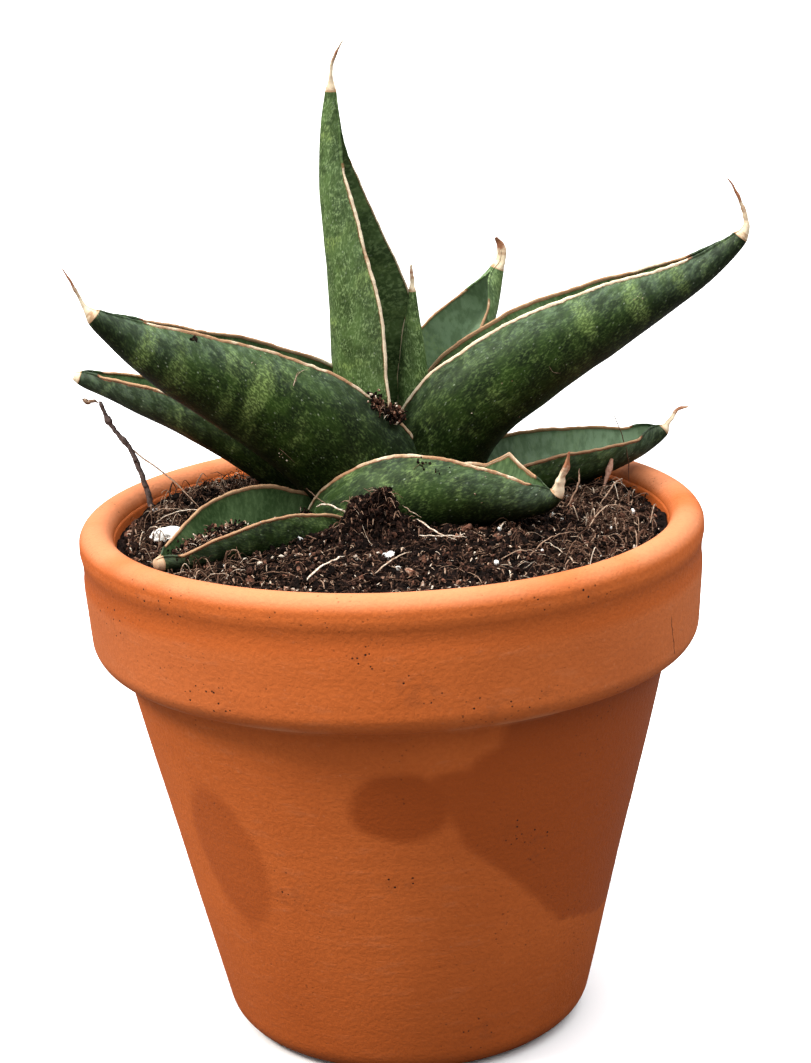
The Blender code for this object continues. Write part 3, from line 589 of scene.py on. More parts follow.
# stations (x, y, z, half width) from base to end; tip is where the dry tip starts; faces is the way the
# channel opens at base and end; curl is the half angle of the outer arc at base, middle and end
leaves = {
    "leaf_spike": {
        "stations": [(4.2, 15, 88, 3.2), (4.7, 14, 99, 3.4), (4.9, 13.5, 110, 3.0), (5.0, 13.5, 120, 2.2),
                     (5.2, 13.5, 126.5, 1.2), (5.3, 13.5, 130.4, 0.7), (5.3, 13.5, 133, 0.5),
                     (5.3, 13.5, 135.3, 0.25)],
        "tip": 5, "faces": [(-0.6, 0.6, 0), (-0.6, 0.6, 0)], "curl": (150, 155, 160), "groove": 0.6,
        "bow": 1.8,
        "tipThin": 0.1,
        "look": {"paleness": 1.9, "bandness": 1.4, "brownness": 0.1, "keelShade": 0.0, "lift": 0.55,
                 "bloomAndSheen": 0.2,
                 "tipEnd": "cream",
                 "crossBands": [(-6.6, 66.0, 5, 1.5, 0.9), (-9.0, 55.4, 6, 1.2, 0.8),
                                (-10.5, 48.4, 6, 1.9, 1.0),
                                (-12.5, 38.7, 6, 1.8, 0.9), (-4.5, 73.7, 4, 1.2, 0.8),
                                (-11.0, 30.0, 6, 1.5, 0.7)]}},
    "leaf_upright": {
        "stations": [(1.6, 16, 87, 6.6), (0.8, 15, 97, 7.7), (-0.2, 14, 107, 8.5), (-1.0, 13.5, 116, 8.6),
                     (-2.1, 12.5, 129, 7.6), (-4.7, 12, 141, 5.4), (-6.6, 12, 149.8, 3.8),
                     (-7.6, 12, 156, 2.5),
                     (-7.8, 12, 161.5, 1.75), (-7.6, 12, 166.2, 1.05), (-7.4, 12, 169.8, 0.75),
                     (-6.7, 12, 172.3, 0.55), (-5, 12, 175.2, 0.2)],
        "tip": 9, "faces": [(0.72, -0.7, 0), (0.87, -0.5, 0)], "curl": (132, 138, 144), "groove": 0.75,
        "bow": 1.8,
        "shut": 0.80, "rise": ([(0, 0), (0.4, -0.9), (0.8, -0.6), (1, 0)], [(0, 0), (1, 0)]),
        "beads": (0.5, 1.1),
        "look": {"paleness": 1.45, "bandness": 1.5, "brownness": 0.12, "insidePale": 0.35, "keelShade": 0.0,
                 "lift": 0.75,
                 "bloomAndSheen": 0.15, "tipEnd": "cream"}},
    "leaf_right": {
        "stations": [(7.8, 16.2, 87, 8.6), (7.9, 15.3, 95, 9.0), (9.2, 13.2, 103, 9.4),
                     (14, 10.5, 110.5, 9.2),
                     (26, 9.2, 118.8, 8.2), (37.4, 9.5, 124.4, 6.6), (48.3, 10, 129.1, 4.4),
                     (57.5, 10, 133.8, 2.5),
                     (63.2, 10, 138.2, 1.3), (64.4, 10, 140.2, 1.0), (64.3, 10, 142.4, 0.85),
                     (63.3, 10, 145, 0.65),
                     (62.2, 10, 147.2, 0.45), (61, 10, 148.9, 0.2)],
        "tip": 8, "faces": [(-0.8, 0.25, 0.6), (-0.25, 0.1, 1)], "curl": (140, 148, 152), "groove": 0.74,
        "bow": 1.8,
        "rise": ([(0, 0), (1, 0)], [(0, 0), (0.25, 1.2), (0.5, 1.8), (0.75, 0.9), (1, 0)]),
        "beads": (1.3, 1.0),
        "look": {"paleness": 0.75, "bandness": 0.7, "brownness": (0.0, 0.75), "tipEnd": "rust",
                 "baseShade": (38, 16),
                 "crossBands": [(8.8, 61.0, 5, 1.9, 0.55), (12.6, 51.6, 4.5, 1.6, 0.5),
                                (6.4, 69.9, 4, 1.4, 0.4)]}},
    "leaf_left": {
        "stations": [(0, 13.4, 87, 8.8), (-1, 12.3, 94, 10.2), (-5.5, 9.5, 101.5, 11.0),
                     (-12.5, 6, 109, 10.6),
                     (-24, 2, 116.6, 8.6), (-36, -2, 123, 5.8), (-44, -4, 127.7, 3.4),
                     (-49.2, -6, 131.6, 1.5),
                     (-50.9, -6, 133.8, 0.85), (-52.3, -6.5, 137, 0.6), (-53.9, -7, 140.5, 0.2)],
        "tip": 7, "faces": [(0.75, 0.1, 0.6), (0.3, 0.1, 0.95)], "curl": (142, 150, 154), "groove": 0.72,
        "bow": 1.8,
        "tall": 1.05,
        "look": {"paleness": 0.75, "bandness": 0.7, "brownness": (0.6, 0.55), "tipEnd": "rust",
                 "baseShade": (38, 18),
                 "crossBands": [(-6.3, 62.4, 5, 1.6, 0.5), (-7.2, 56.6, 4, 1.3, 0.35),
                                (-14.3, 42.6, 6, 2.0, 0.75),
                                (-8.5, 46.9, 3, 1.2, 0.3)]}},
    "leaf_back": {
        "stations": [(6, 23, 87, 7.4), (6.5, 24, 97, 8.2), (8.5, 25.5, 109, 8.6), (13, 28, 118, 6.7),
                     (18.2, 30.5, 125.2, 3.5), (21.3, 32, 130.6, 1.4), (22.1, 32, 132.8, 0.9),
                     (22.2, 32, 134.8, 0.8), (21.3, 32, 136.7, 0.3)],
        "tip": 5, "faces": [(-0.38, -0.85, 0.4), (-0.42, -0.7, 0.5)], "curl": (112, 116, 120),
        "groove": 0.82,
        "bow": 2.2, "shut": 0.84, "tipThin": -0.15,
        "look": {"paleness": 1.4, "brownness": 0.75, "insideBloomAndReflection": 0.75, "keelShade": 0.1, "lift": 0.9}},
    "leaf_low_right": {
        "stations": [(9.5, 19, 86, 8.2), (13, 18.5, 91.5, 8.4), (19.5, 18.5, 95.4, 8.3),
                     (29, 19.5, 97.7, 7.0),
                     (38.9, 21, 98.6, 5.0), (46.5, 23, 99.4, 2.9), (50.7, 24, 100.7, 1.3),
                     (52.4, 24.5, 102.6, 0.85),
                     (53.6, 25, 104.2, 0.7), (55.6, 25, 104.8, 0.3)],
        "tip": 6, "faces": [(-0.4, -0.2, 0.8), (-0.1, -0.2, 0.95)], "curl": (108, 112, 118), "groove": 0.84,
        "bow": 3, "shut": 0.86, "look": {"paleness": 0.6, "bandness": 0.5, "brownness": 0.8,
                                         "insideBloomAndReflection": 0.85, "tipEnd": "tan"}},
    "leaf_low_left": {
        "stations": [(-5, 20, 87, 8.3), (-9, 19.7, 93.5, 8.6), (-15, 19, 99.3, 8.5),
                     (-23.5, 18.5, 104.6, 7.6),
                     (-33.1, 18.5, 108.9, 5.9), (-43.8, 19.5, 112.4, 3.9), (-50.2, 20.5, 114.2, 2.6),
                     (-55.2, 21, 115.4, 1.4), (-56.8, 21, 116, 0.7)],
        "faces": [(0.7, -0.1, 0.6), (0.2, -0.1, 0.95)], "curl": (118, 122, 126), "groove": 0.8, "bow": 2.4,
        "shut": 0.9, "look": {"paleness": 0.8, "brownness": 0.6, "baseShade": (34, 18)}},
    "leaf_front_right": {
        "stations": [(-6.5, 2.5, 88, 8.7), (-3, -1, 93.2, 8.9), (4, -3.2, 97, 8.0), (13, -6, 98.2, 6.2),
                     (21.5, -8.5, 97.6, 3.9), (26.5, -10, 97.4, 2.2), (28.5, -10.5, 98.4, 1.3),
                     (29.4, -10.5, 100.8, 1.1), (30.3, -10.5, 103.2, 0.8), (30.9, -10.5, 105.9, 0.2)],
        "tip": 6, "faces": [(-0.2, 0.42, 0.8), (-0.1, 0.3, 0.95)], "curl": (128, 132, 138), "groove": 0.75,
        "bow": 2,
        "shut": 0.86, "tipThin": -0.25,
        "look": {"paleness": 0.75, "bandness": 0.6, "brownness": 0.55, "keelShade": 1.0, "tipEnd": "rust",
                 "tipRed": -1},
        "rise": ([(0, 2.0), (0.4, 1.5), (0.7, 0.3), (1, 0)],
                 [(0, 0), (0.5, 0.6), (0.66, 1.4), (0.75, 4.2), (0.86, 2.0), (1, 0)])},
    "leaf_front_left": {
        "stations": [(-6.5, 1.5, 87, 8.2), (-10.5, -2, 91.5, 8.4), (-17.5, -7, 95.2, 7.9),
                     (-25.2, -13, 96.2, 6.8),
                     (-31.6, -18, 95, 4.9), (-36, -21, 93.4, 2.9), (-38.5, -23, 92.7, 1.6),
                     (-39.9, -24, 92.7, 0.9)],
        "faces": [(0.6, 0.3, 0.7), (0.3, 0, 0.95)], "curl": (112, 114, 116), "groove": 0.85, "bow": 3,
        "shut": 0.9,
        "look": {"paleness": 0.9, "bandness": 0.7, "brownness": 0.9, "tipTan": 0.7}},
}
leafGrid = {"blade": 150, "tip": 34, "arc": 52, "bead": 7, "channel": 30, "beadRadius": 0.25,
            "tipThin": 0.35}


def catmullRom(stations, fine=60):
    points = np.array(stations, float)
    gaps = np.linalg.norm(np.diff(points[:, :3], axis=0), axis=1) ** 0.5
    points = np.vstack([2 * points[0] - points[1], points, 2 * points[-1] - points[-2]])
    knots = np.concatenate([[-gaps[0]], [0], np.cumsum(gaps), [gaps.sum() + gaps[-1]]])
    runs = []
    for i in range(1, len(knots) - 2):
        t = np.linspace(knots[i], knots[i + 1], fine, endpoint=i == len(knots) - 3)[:, None]
        t0, t1, t2, t3 = knots[i - 1:i + 3]
        p0, p1, p2, p3 = points[i - 1:i + 3]
        a1 = (t1 - t) / (t1 - t0) * p0 + (t - t0) / (t1 - t0) * p1
        a2 = (t2 - t) / (t2 - t1) * p1 + (t - t1) / (t2 - t1) * p2
        a3 = (t3 - t) / (t3 - t2) * p2 + (t - t2) / (t3 - t2) * p3
        b1 = (t2 - t) / (t2 - t0) * a1 + (t - t0) / (t2 - t0) * a2
        b2 = (t3 - t) / (t3 - t1) * a2 + (t - t1) / (t3 - t1) * a3
        runs.append((t2 - t) / (t2 - t1) * b1 + (t - t1) / (t2 - t1) * b2)
    return np.vstack(runs), [i * fine for i in range(len(stations) - 1)] + [(len(stations) - 1) * fine - 1]


def leafSkin(leaf, seed):
    g = leafGrid
    run, marks = catmullRom(leaf["stations"])
    along = np.concatenate([[0], np.cumsum(np.linalg.norm(np.diff(run[:, :3], axis=0), axis=1))])
    hasTip = "tip" in leaf
    bladeEnd = along[marks[leaf["tip"]]] if hasTip else along[-1]
    at = np.linspace(0, bladeEnd, g["blade"])
    if hasTip:
        at = np.concatenate([at, np.linspace(bladeEnd, along[-1], g["tip"] + 1)[1:]])
    run = np.stack([np.interp(at, along, run[:, i]) for i in range(4)], axis=1)
    centre, half = run[:, :3], np.maximum(run[:, 3], 0.08)
    share = at / bladeEnd
    if hasTip:
        tipShare = np.clip((at - bladeEnd) / (along[-1] - bladeEnd), 0, 1)
        dry = tipShare * 0.8 + 0.2 * (tipShare > 0)
    else:
        tipShare, dry = np.zeros(len(at)), 0.5 * ease(bladeEnd - 1.6, bladeEnd - 0.4, at)
    crinkle = ease(0, 0.3, tipShare)
    half = half * (1 - leaf.get("tipThin", g["tipThin"]) * crinkle)
    half = half * (1 + 0.25 * crinkle * wavy(at, seed, 0.9) + 0.018 * wavy(at, seed + 3, 7.0))
    sway = np.stack([wavy(at, seed + k, 1.6) for k in (11, 12, 13)], axis=1)
    centre = centre + 0.16 * crinkle[:, None] * sway
    tangent = unit(np.gradient(centre, at, axis=0))
    faces = unit(np.array(leaf["faces"], float))
    shut = ease(leaf.get("shut", 0.86), 1, share)
    curl = np.radians(np.interp(share, [0, 0.5, 1], leaf["curl"]))
    curl = curl + (math.radians(174) - curl) * shut
    tall = leaf.get("tall", 1) + (1 - leaf.get("tall", 1)) * shut
    tall = tall * (1 - (0.35 if leaf.get("tipThin", 1) > 0 else 0.6) * crinkle)
    groove = leaf["groove"] * (1 - shut) + 0.02 * shut
    rise = [np.interp(share, *zip(*side)) for side in leaf.get("rise", ([(0, 0)], [(0, 0)]))]
    # margins ripple a little and have small nicks
    fade = ease(0.02, 0.15, share) * (1 - shut)
    rise = [side + fade * (0.30 * wavy(at, seed + 20 + k, 4.5) + 0.10 * wavy(at, seed + 30 + k, 1.1))
            for k, side in enumerate(rise)]
    bead = g["beadRadius"] * np.minimum(1, half / 2.0)
    beads = [bead * scale * (1 + 0.30 * wavy(at, seed + 40 + k, 1.7) + 0.22 * wavy(at, seed + 50 + k, 0.6))
             for k, scale in enumerate(leaf.get("beads", (1, 1)))]
    t = np.linspace(-1, 1, g["arc"] + 2)[1:-1]
    arcShare = t * (1.38 - 0.38 * t * t)
    v = -np.linspace(-1, 1, g["channel"] + 2)[1:-1]
    v = v * (1.38 - 0.38 * v * v)
    sweep = np.radians(np.linspace(-105, 105, g["bead"]))
    rings, layers = [], {"across": [], "along": [], "edge": [], "inner": [], "dry": []}
    normal = faces[0]
    for i, s in enumerate(share):
        if s < 0.93:
            normal = faces[0] * (1 - s) + faces[1] * s
        normal = unit(normal - normal @ tangent[i] * tangent[i])
        side = np.cross(tangent[i], normal)
        a, b, c = half[i], half[i] * tall[i], curl[i]
        phi = c * arcShare
        lift = np.where(phi > 0, rise[0][i], rise[1][i]) * np.abs(arcShare) ** 3
        bumpy = 0.10 * min(1, a / 4) * np.array([
            noiseAt(p * a / 4.5, at[i] / 7, seed) + 0.5 * noiseAt(p * a / 1.6, at[i] / 3, seed + 5)
            for p in phi])
        ox, oy = (a + bumpy) * np.sin(phi), -(b + bumpy) * np.cos(phi) + lift
        marginX, marginY = a * math.sin(c), -b * math.cos(c)
        sink = groove[i] * (marginY + b)
        inLift = np.where(v > 0, rise[0][i], rise[1][i]) * np.abs(v) ** 4
        ix = marginX * v
        iy = marginY - sink * (1 - np.abs(v) ** leaf["bow"]) + inLift
        ends = []
        for sign, up, radius in ((1, rise[0][i], beads[0][i]), (-1, rise[1][i], beads[1][i])):
            corner = np.array([sign * marginX, marginY + up])
            outerDir = unit(np.array([sign * a * math.cos(c), b * math.sin(c)]))
            innerDir = unit(np.array([sign * marginX, sink * leaf["bow"] + 1e-6]))
            out = unit(outerDir + innerDir)
            middle = corner + out * radius * 0.35
            cosines, sines = np.cos(sweep), np.sin(sweep)
            ends.append(np.stack([middle[0] + radius * (out[0] * cosines - out[1] * sines),
                                  middle[1] + radius * (out[0] * sines + out[1] * cosines)]))
        flat = np.concatenate([np.stack([ox, oy]), ends[0], np.stack([ix, iy]), ends[1]], axis=1)
        rings.append(centre[i] + flat[0][:, None] * side + flat[1][:, None] * normal)
        zero, count = np.zeros(g["bead"]), flat.shape[1]
        layers["across"].append(np.concatenate([a * phi, zero + a * c, ix, zero - a * c]))
        fromMargin = np.hypot(marginX * (1 - np.abs(v)), iy - marginY - inLift)
        layers["edge"].append(np.concatenate([a * (c - np.abs(phi)) + 0.15, zero, fromMargin + 0.15, zero])
                              + 3.0 * shut[i])
        layers["inner"].append(np.concatenate([np.zeros(g["arc"]), zero, np.ones(g["channel"]), zero]))
        layers["along"].append(np.full(count, at[i]))
        layers["dry"].append(np.full(count, dry[i]))
    rings = np.array(rings)
    count = rings.shape[1]
    skin = gridFaces(len(rings), count)
    skin.append(tuple(range(count)))
    skin.append(tuple((len(rings) - 1) * count + j for j in reversed(range(count))))
    return rings.reshape(-1, 3), skin, {key: np.concatenate(value) for key, value in layers.items()}


leafPieces = {}
for number, (name, leaf) in enumerate(leaves.items()):
    points, skin, layers = leafSkin(leaf, number + 1)
    paint = leafMaterial(name + "_skin", **leaf["look"])
    leafPieces[name] = meshPiece("grown_" + name, points, skin, paint, layers)
    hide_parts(name)
    print(name, "grown:", len(points), "points")

soil = {
    "crown": 93.3, "edge": 91.0, "radial": 150, "around": 380, "seed": 12,
    # heaps: (x, y), half widths, height, how flat-topped
    "heaps": [(-3.6, -13.2, 4.3, 3.2, 5.8, 2.4), (0.6, -14.4, 4.6, 2.6, 2.6, 1.4),
              (-8.5, -15, 3.0, 2.2, 1.4, 1),
              (-31, 20, 9, 8, 2.2, 1), (34, 14, 8, 10, 1.3, 1), (-22, -27, 7, 4, 0.8, 1)],
    "fine": {"count": 8800, "least": 0.14, "most": 0.70, "power": 2.4, "gap": 0.5},
    "coarse": {"count": 640, "least": 0.5, "most": 1.15, "power": 2.4, "gap": 0.7},
    "flakes": {"count": 6200, "least": 0.6, "most": 3.0, "thin": 0.08, "thick": 0.26, "climb": 0.7,
               "steps": 4},
    "roots": {"count": 210, "least": 3.0, "most": 11.0, "thin": 0.06, "thick": 0.14, "climb": 1.6,
              "steps": 9},
    "fuzz": {"count": 900, "least": 2.0, "most": 7.5, "thin": 0.07, "thick": 0.19, "climb": 3.0, "steps": 8},
}


def soilHeight(x, y):
    share = math.hypot(x, y) / 48.0
    level = soil["crown"] - (soil["crown"] - soil["edge"]) * float(ease(0.25, 1, share))
    for heapX, heapY, wideX, wideY, tall, flatness in soil["heaps"]:
        rise = tall * math.exp(-(((x - heapX) / wideX) ** 2 + ((y - heapY) / wideY) ** 2) ** flatness)
        clump = noiseAt(x / 2.2, y / 2.2, 11) + 0.6 * noiseAt(x, y, 5)
        level += min(rise * (1 + 0.85 * clump), 0.92 * tall) if rise > 0.05 else 0
    level += 1.0 * noiseAt(x / 9, y / 9, 2) + 0.75 * noiseAt(x / 3.6, y / 3.6, 7)
    return level + 0.6 * noiseAt(x / 1.5, y / 1.5, 4)


def buildSoilBed():
    rings, shades = [], []
    angles = np.linspace(0, 2 * math.pi, soil["around"], endpoint=False)
    edge = wallRadius(soil["edge"]) - 0.15
    for r in np.linspace(0.4, edge, soil["radial"]):
        ring = []
        for a in angles:
            x, y = r * math.cos(a), r * math.sin(a)
            fine = 0.40 * noiseAt(x / 0.6, y / 0.6, 1)
            ring.append((x, y, soilHeight(x, y) - 0.25 + fine))
            shades.append(0.12 + 0.4 * noiseAt(x / 1.6, y / 1.6, 9))
        rings.append(ring)
    for z in (84, 60, 30, 10.5):
        rings.append([((wallRadius(z) - 0.2) * math.cos(a), (wallRadius(z) - 0.2) * math.sin(a),
                       z) for a in angles])
        shades += [0.3] * len(angles)
    for r in (wallRadius(pot["floor"]) - 4.2, 12, 0.4):
        rings.append([(r * math.cos(a), r * math.sin(a), pot["floor"] + 0.3) for a in angles])
        shades += [0.3] * len(angles)
    rings = np.array(rings)
    faces = gridFaces(len(rings), len(angles))
    faces.append(tuple(reversed(range(len(angles)))))
    faces.append(tuple((len(rings) - 1) * len(angles) + j for j in range(len(angles))))
    bed = meshPiece("soilBed", rings.reshape(-1, 3), faces, soilPaint, {"shade": shades})
    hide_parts("soil")


buildSoilBed()
print("soil bed laid")

# a tree over all leaves, to keep crumbs and strands out of them
treePoints, treeFaces = [], []
for piece in leafPieces.values():
    start = len(treePoints)
    treePoints += [vertex.co.copy() for vertex in piece.data.vertices]
    treeFaces += [tuple(start + index for index in face.vertices) for face in piece.data.polygons]
leafTree = BVHTree.FromPolygons(treePoints, treeFaces)


def clearOfLeaves(x, y, z, gap):
    spot = Vector(((x + potAxis[0]) * mm, (y + potAxis[1]) * mm, z * mm))
    near, normal, _, distance = leafTree.find_nearest(spot)
    return near is None or (distance > gap * mm and (spot - near).dot(normal) > 0)


def ballShape(subdivisions):
    shape = bmesh.new()
    bmesh.ops.create_icosphere(shape, subdivisions=subdivisions, radius=1)
    points = np.array([vertex.co[:] for vertex in shape.verts])
    faces = np.array([[vertex.index for vertex in face.verts] for face in shape.faces])
    shape.free()
    return points, faces


chance = np.random.default_rng(soil["seed"])


def earthTones(count):
    # mostly near-black peat, with brown crumbs, reddish bark and a few pale bits
    kinds = chance.uniform(size=count)
    tones = np.where(kinds < 0.50, chance.uniform(0.0, 0.26, count), chance.uniform(0.35, 0.62, count))
    tones = np.where(kinds > 0.82, chance.uniform(0.62, 0.86, count), tones)
    return np.where(kinds > 0.965, chance.uniform(0.86, 1.0, count), tones)


def dampness(spots):
    # wetter, darker stretches of soil
    return np.array([min(1.25, max(0.25, 0.85 + 1.3 * noiseAt(x / 6, y / 6, 3))) for x, y, _ in spots])


def crumbCloud(name, spots, sizes, tones, material, squash=(0.35, 0.9), smooth=False,
               subdivisions=1):
    # one joined mesh of small jagged lumps
    base, baseFaces = ballShape(subdivisions)
    points, faces, shades = [], [], []
    for number, (spot, size, tone) in enumerate(zip(spots, sizes, tones)):
        stretch = np.array([1, chance.uniform(0.4, 1.0), chance.uniform(*squash)])
        if subdivisions > 1:
            shift = chance.uniform(0, 50)
            rough = np.array([noise.noise(Vector(v * 1.6) + Vector((shift, 0, 0))) for v in base])[:, None]
            lump = base * (1 + 0.55 * rough) * chance.uniform(0.9, 1.08, (len(base), 1))
        else:
            lump = base * chance.uniform(0.55, 1.25, (len(base), 1))
        spin = np.array(Euler(chance.uniform(0, 2 * math.pi, 3)).to_matrix())
        points.append((lump * stretch * size) @ spin.T + spot)
        faces.append(baseFaces + number * len(base))
        shades.append(np.full(len(base), tone) + chance.uniform(-0.08, 0.08, len(base)))
    return meshPiece(name, np.vstack(points), np.vstack(faces).tolist(), material,
                     {"shade": np.concatenate(shades)}, smooth)


def scatter(count, least, most, power, gap):
    spots, sizes = [], []
    while len(spots) < count:
        r, a = 47.6 * math.sqrt(chance.uniform()), chance.uniform(0, 2 * math.pi)
        x, y = r * math.cos(a), r * math.sin(a)
        size = least + (most - least) * chance.uniform() ** power
        z = soilHeight(x, y) + size * chance.uniform(-0.25, 0.6) + 0.5 * chance.uniform() ** 4
        if r + size > 47.9 or not clearOfLeaves(x, y, z, size * gap):
            continue
        spots.append((x, y, z))
        sizes.append(size)
    return spots, sizes


spots, sizes = scatter(**soil["fine"])
crumbCloud("fineCrumbs", spots, sizes, earthTones(len(spots)) * dampness(spots), soilPaint)
spots, sizes = scatter(**soil["coarse"])
crumbCloud("coarseCrumbs", spots, sizes, earthTones(len(spots)) * dampness(spots) * 0.7, soilPaint,
           subdivisions=2)
print("crumbs scattered")


def strandCloud(name, lines, material, sides=4):
    # lines: (points, radius, shade); one joined mesh of thin strands
    allPoints, faces, tones, offset = [], [], [], 0
    for points, radius, shade in lines:
        points = np.array(points, float)
        tangent = unit(np.gradient(points, axis=0))
        first = unit(np.cross(tangent, np.array([0.13, 0.21, 1.0])))
        second = np.cross(tangent, first) * 0.55  # strands are a little flat
        taper = radius * np.interp(np.linspace(0, 1, len(points)), [0, 0.12, 0.8, 1], [0.45, 1, 0.8, 0.25])
        angles = np.linspace(0, 2 * math.pi, sides, endpoint=False)
        ring = np.cos(angles)[None, :, None] * first[:, None] + np.sin(angles)[None, :, None] * second[:,
                                                                                                       None]
        allPoints.append((points[:, None] + ring * taper[:, None, None]).reshape(-1, 3))
        faces += [face[::-1] for face in gridFaces(len(points), sides, offset=offset)]
        faces.append(tuple(offset + j for j in range(sides)))
        faces.append(tuple(offset + (len(points) - 1) * sides + j for j in reversed(range(sides))))
        tones.append(np.full(len(points) * sides, shade))
        offset += len(points) * sides
    return meshPiece(name, np.vstack(allPoints), faces, material, {"shade": np.concatenate(tones)})


def softLine(stations, count=14, jitter=0.0, seed=0):
    line, _ = catmullRom([(*s[:3], 1) for s in stations], 12)
    pick = np.linspace(0, len(line) - 1, count).astype(int)
    line = line[pick, :3]
    if jitter:
        line = line + jitter * np.stack([wavy(np.arange(count), seed + k, 2.3) for k in (1, 2, 3)], axis=1)
    return line


def looseStrands(count, least, most, thin, thick, climb, steps, pale=0.0, rimOnly=False):
    lines = []
    while len(lines) < count:
        r, a = 46.5 * math.sqrt(chance.uniform(0.5 if rimOnly else 0, 1)), chance.uniform(0, 2 * math.pi)
        x, y = r * math.cos(a), r * math.sin(a)
        if rimOnly and abs(x) < 24:
            continue
        length = least + (most - least) * chance.uniform() ** 2.2
        heading, bend = chance.uniform(0, 2 * math.pi), chance.normal(0, 0.9 / steps)
        lift, lean = climb * chance.uniform() ** 2, chance.uniform(0.5, 1.0)
        points = []
        for k in range(steps):
            t = k / (steps - 1)
            points.append((x, y, soilHeight(x, y) + 0.15 + math.sin(t * math.pi * lean) * lift))
            heading += bend + chance.normal(0, 0.07)
            x += math.cos(heading) * length / steps
            y += math.sin(heading) * length / steps
        if any(math.hypot(p[0], p[1]) > 47.6 or not clearOfLeaves(*p, 0.15) for p in points):
            continue
        shade = 0.05 + 0.9 * chance.uniform() ** (2.6 - 1.4 * pale)
        lines.append((points, chance.uniform(thin, thick), float(shade)))
    return lines


strandCloud("coirFlakes", looseStrands(**soil["flakes"]), fibrePaint)
strandCloud("fineRoots", looseStrands(**soil["roots"], pale=0.5), fibrePaint)
strandCloud("rimFuzz", looseStrands(**soil["fuzz"], pale=0.6, rimOnly=True), fibrePaint)
print("strands scattered")

# longer pale rootlets and straws: (line, radius, shade)
rootlets = [
    ([(-14.5, -34, 92.0), (-11.5, -31.5, 93.6), (-9.5, -30.0, 94.2), (-8.0, -28.6, 94.3)], 0.26, 0.95),
    ([(-3.0, -34, 92.6), (-0.5, -31, 93.8), (1.5, -28.5, 94.0), (3.2, -26.8, 93.8)], 0.18, 0.85),
    ([(4.5, -14, 96.0), (6.5, -17.5, 95.4), (8.6, -20.5, 94.8), (11.0, -22.0, 94.2)], 0.22, 0.9),
    ([(4.5, -20, 94.8), (8.5, -21.2, 94.8), (12.4, -21.4, 94.6)], 0.22, 0.95),
    ([(-28, -24, 93.6), (-26.2, -25.2, 95.0), (-25.4, -26.0, 93.6)], 0.14, 0.7),
    ([(34, -12, 93.2), (37, -8.5, 95.4), (39.4, -5.5, 94.8), (41, -2.8, 93.4)], 0.17, 0.75),
    ([(31, -2, 94.0), (33.4, 3, 96.8), (34.0, 8, 98.2)], 0.18, 0.6),
    ([(37, 0, 93.5), (40.2, 4, 96.4), (41.8, 9, 95.6), (42, 13, 93.4)], 0.15, 0.7),
    ([(24, -26, 93.4), (28, -22, 94.6), (31.5, -19.5, 94.0)], 0.15, 0.7),
    ([(-41.8, 3, 92.8), (-38, 1.2, 94.8), (-33.5, 0.6, 95.4), (-29.4, 0.0, 95.1)], 0.2, 0.95),
    ([(-43, 8, 93.0), (-40, 5, 94.6), (-36, 4, 94.2)], 0.16, 0.8),
    ([(-48.2, 19.4, 104.0), (-46.6, 19.0, 102.0), (-40.8, 14.5, 98.6), (-34.6, 8.0, 93.9)], 0.30, 0.72),
    ([(-55.2, 20, 111.7), (-54.6, 20, 111.1), (-53.6, 20, 111.5), (-52.6, 20, 110.9)], 0.80, 0.66),
    ([(41.0, 19.0, 106.0), (42.6, 18.4, 102.0), (43.6, 18.0, 98.0), (43.8, 17.6, 92.6)], 0.17, 0.40),
    ([(-16, 3, 98.5), (-13, -1.5, 97.4), (-10.5, -5, 96.2)], 0.14, 0.6),
    ([(18, -30, 93.0), (21, -28.5, 94.0), (24.5, -28.8, 93.4)], 0.13, 0.75),
    ([(-22, -33, 92.8), (-19, -34, 93.5), (-15.5, -35.5, 92.8)], 0.13, 0.6),
    ([(-12.8, -9.8, 97.9), (-10.6, -11.2, 98.4), (-8.2, -12.6, 97.6), (-6.9, -13.4, 97.2)], 0.30, 0.95),
    ([(2.0, -13.6, 98.4), (3.2, -14.2, 97.6), (5.0, -14.6, 96.6)], 0.16, 0.8),
]
rootletLines = [(softLine(line, 18, 0.25, 40 + k), radius, shade)
                for k, (line, radius, shade) in enumerate(rootlets)]
strandCloud("paleRootlets", rootletLines, fibrePaint, sides=6)


def heapCrumbs(name, heap, count, strands):
    # extra crumbs over the steep sides of one heap
    heapX, heapY, wideX, wideY = heap
    spots, sizes, lines = [], [], []
    while len(spots) < count or len(lines) < strands:
        x, y = chance.normal(heapX, wideX * 0.85), chance.normal(heapY, wideY * 0.85)
        z = soilHeight(x, y) + chance.uniform(-0.3, 0.5)
        if not clearOfLeaves(x, y, z, 0.05):
            continue
        if len(spots) < count:
            spots.append((x, y, z))
            sizes.append(0.14 + 0.75 * chance.uniform() ** 2.2)
        elif z > soil["crown"] + 1:
            drift = chance.normal(size=3) * np.array([1.1, 1.1, 0.6])
            end = np.array((x, y, z)) + drift
            if clearOfLeaves(*end, 0.1):
                lines.append((softLine([(x, y, z), (x + drift[0] * 0.5, y + drift[1] * 0.5, z + 0.5), end],
                                       7),
                              chance.uniform(0.07, 0.18), float(0.05 + 0.75 * chance.uniform() ** 2.2)))
    crumbCloud(name, spots, sizes, earthTones(count) * 0.55, soilPaint)
    strandCloud(name + "Flakes", lines, fibrePaint)


heapCrumbs("heapCrumbs", (-2.6, -13.6, 5.6, 3.6), 3600, 420)


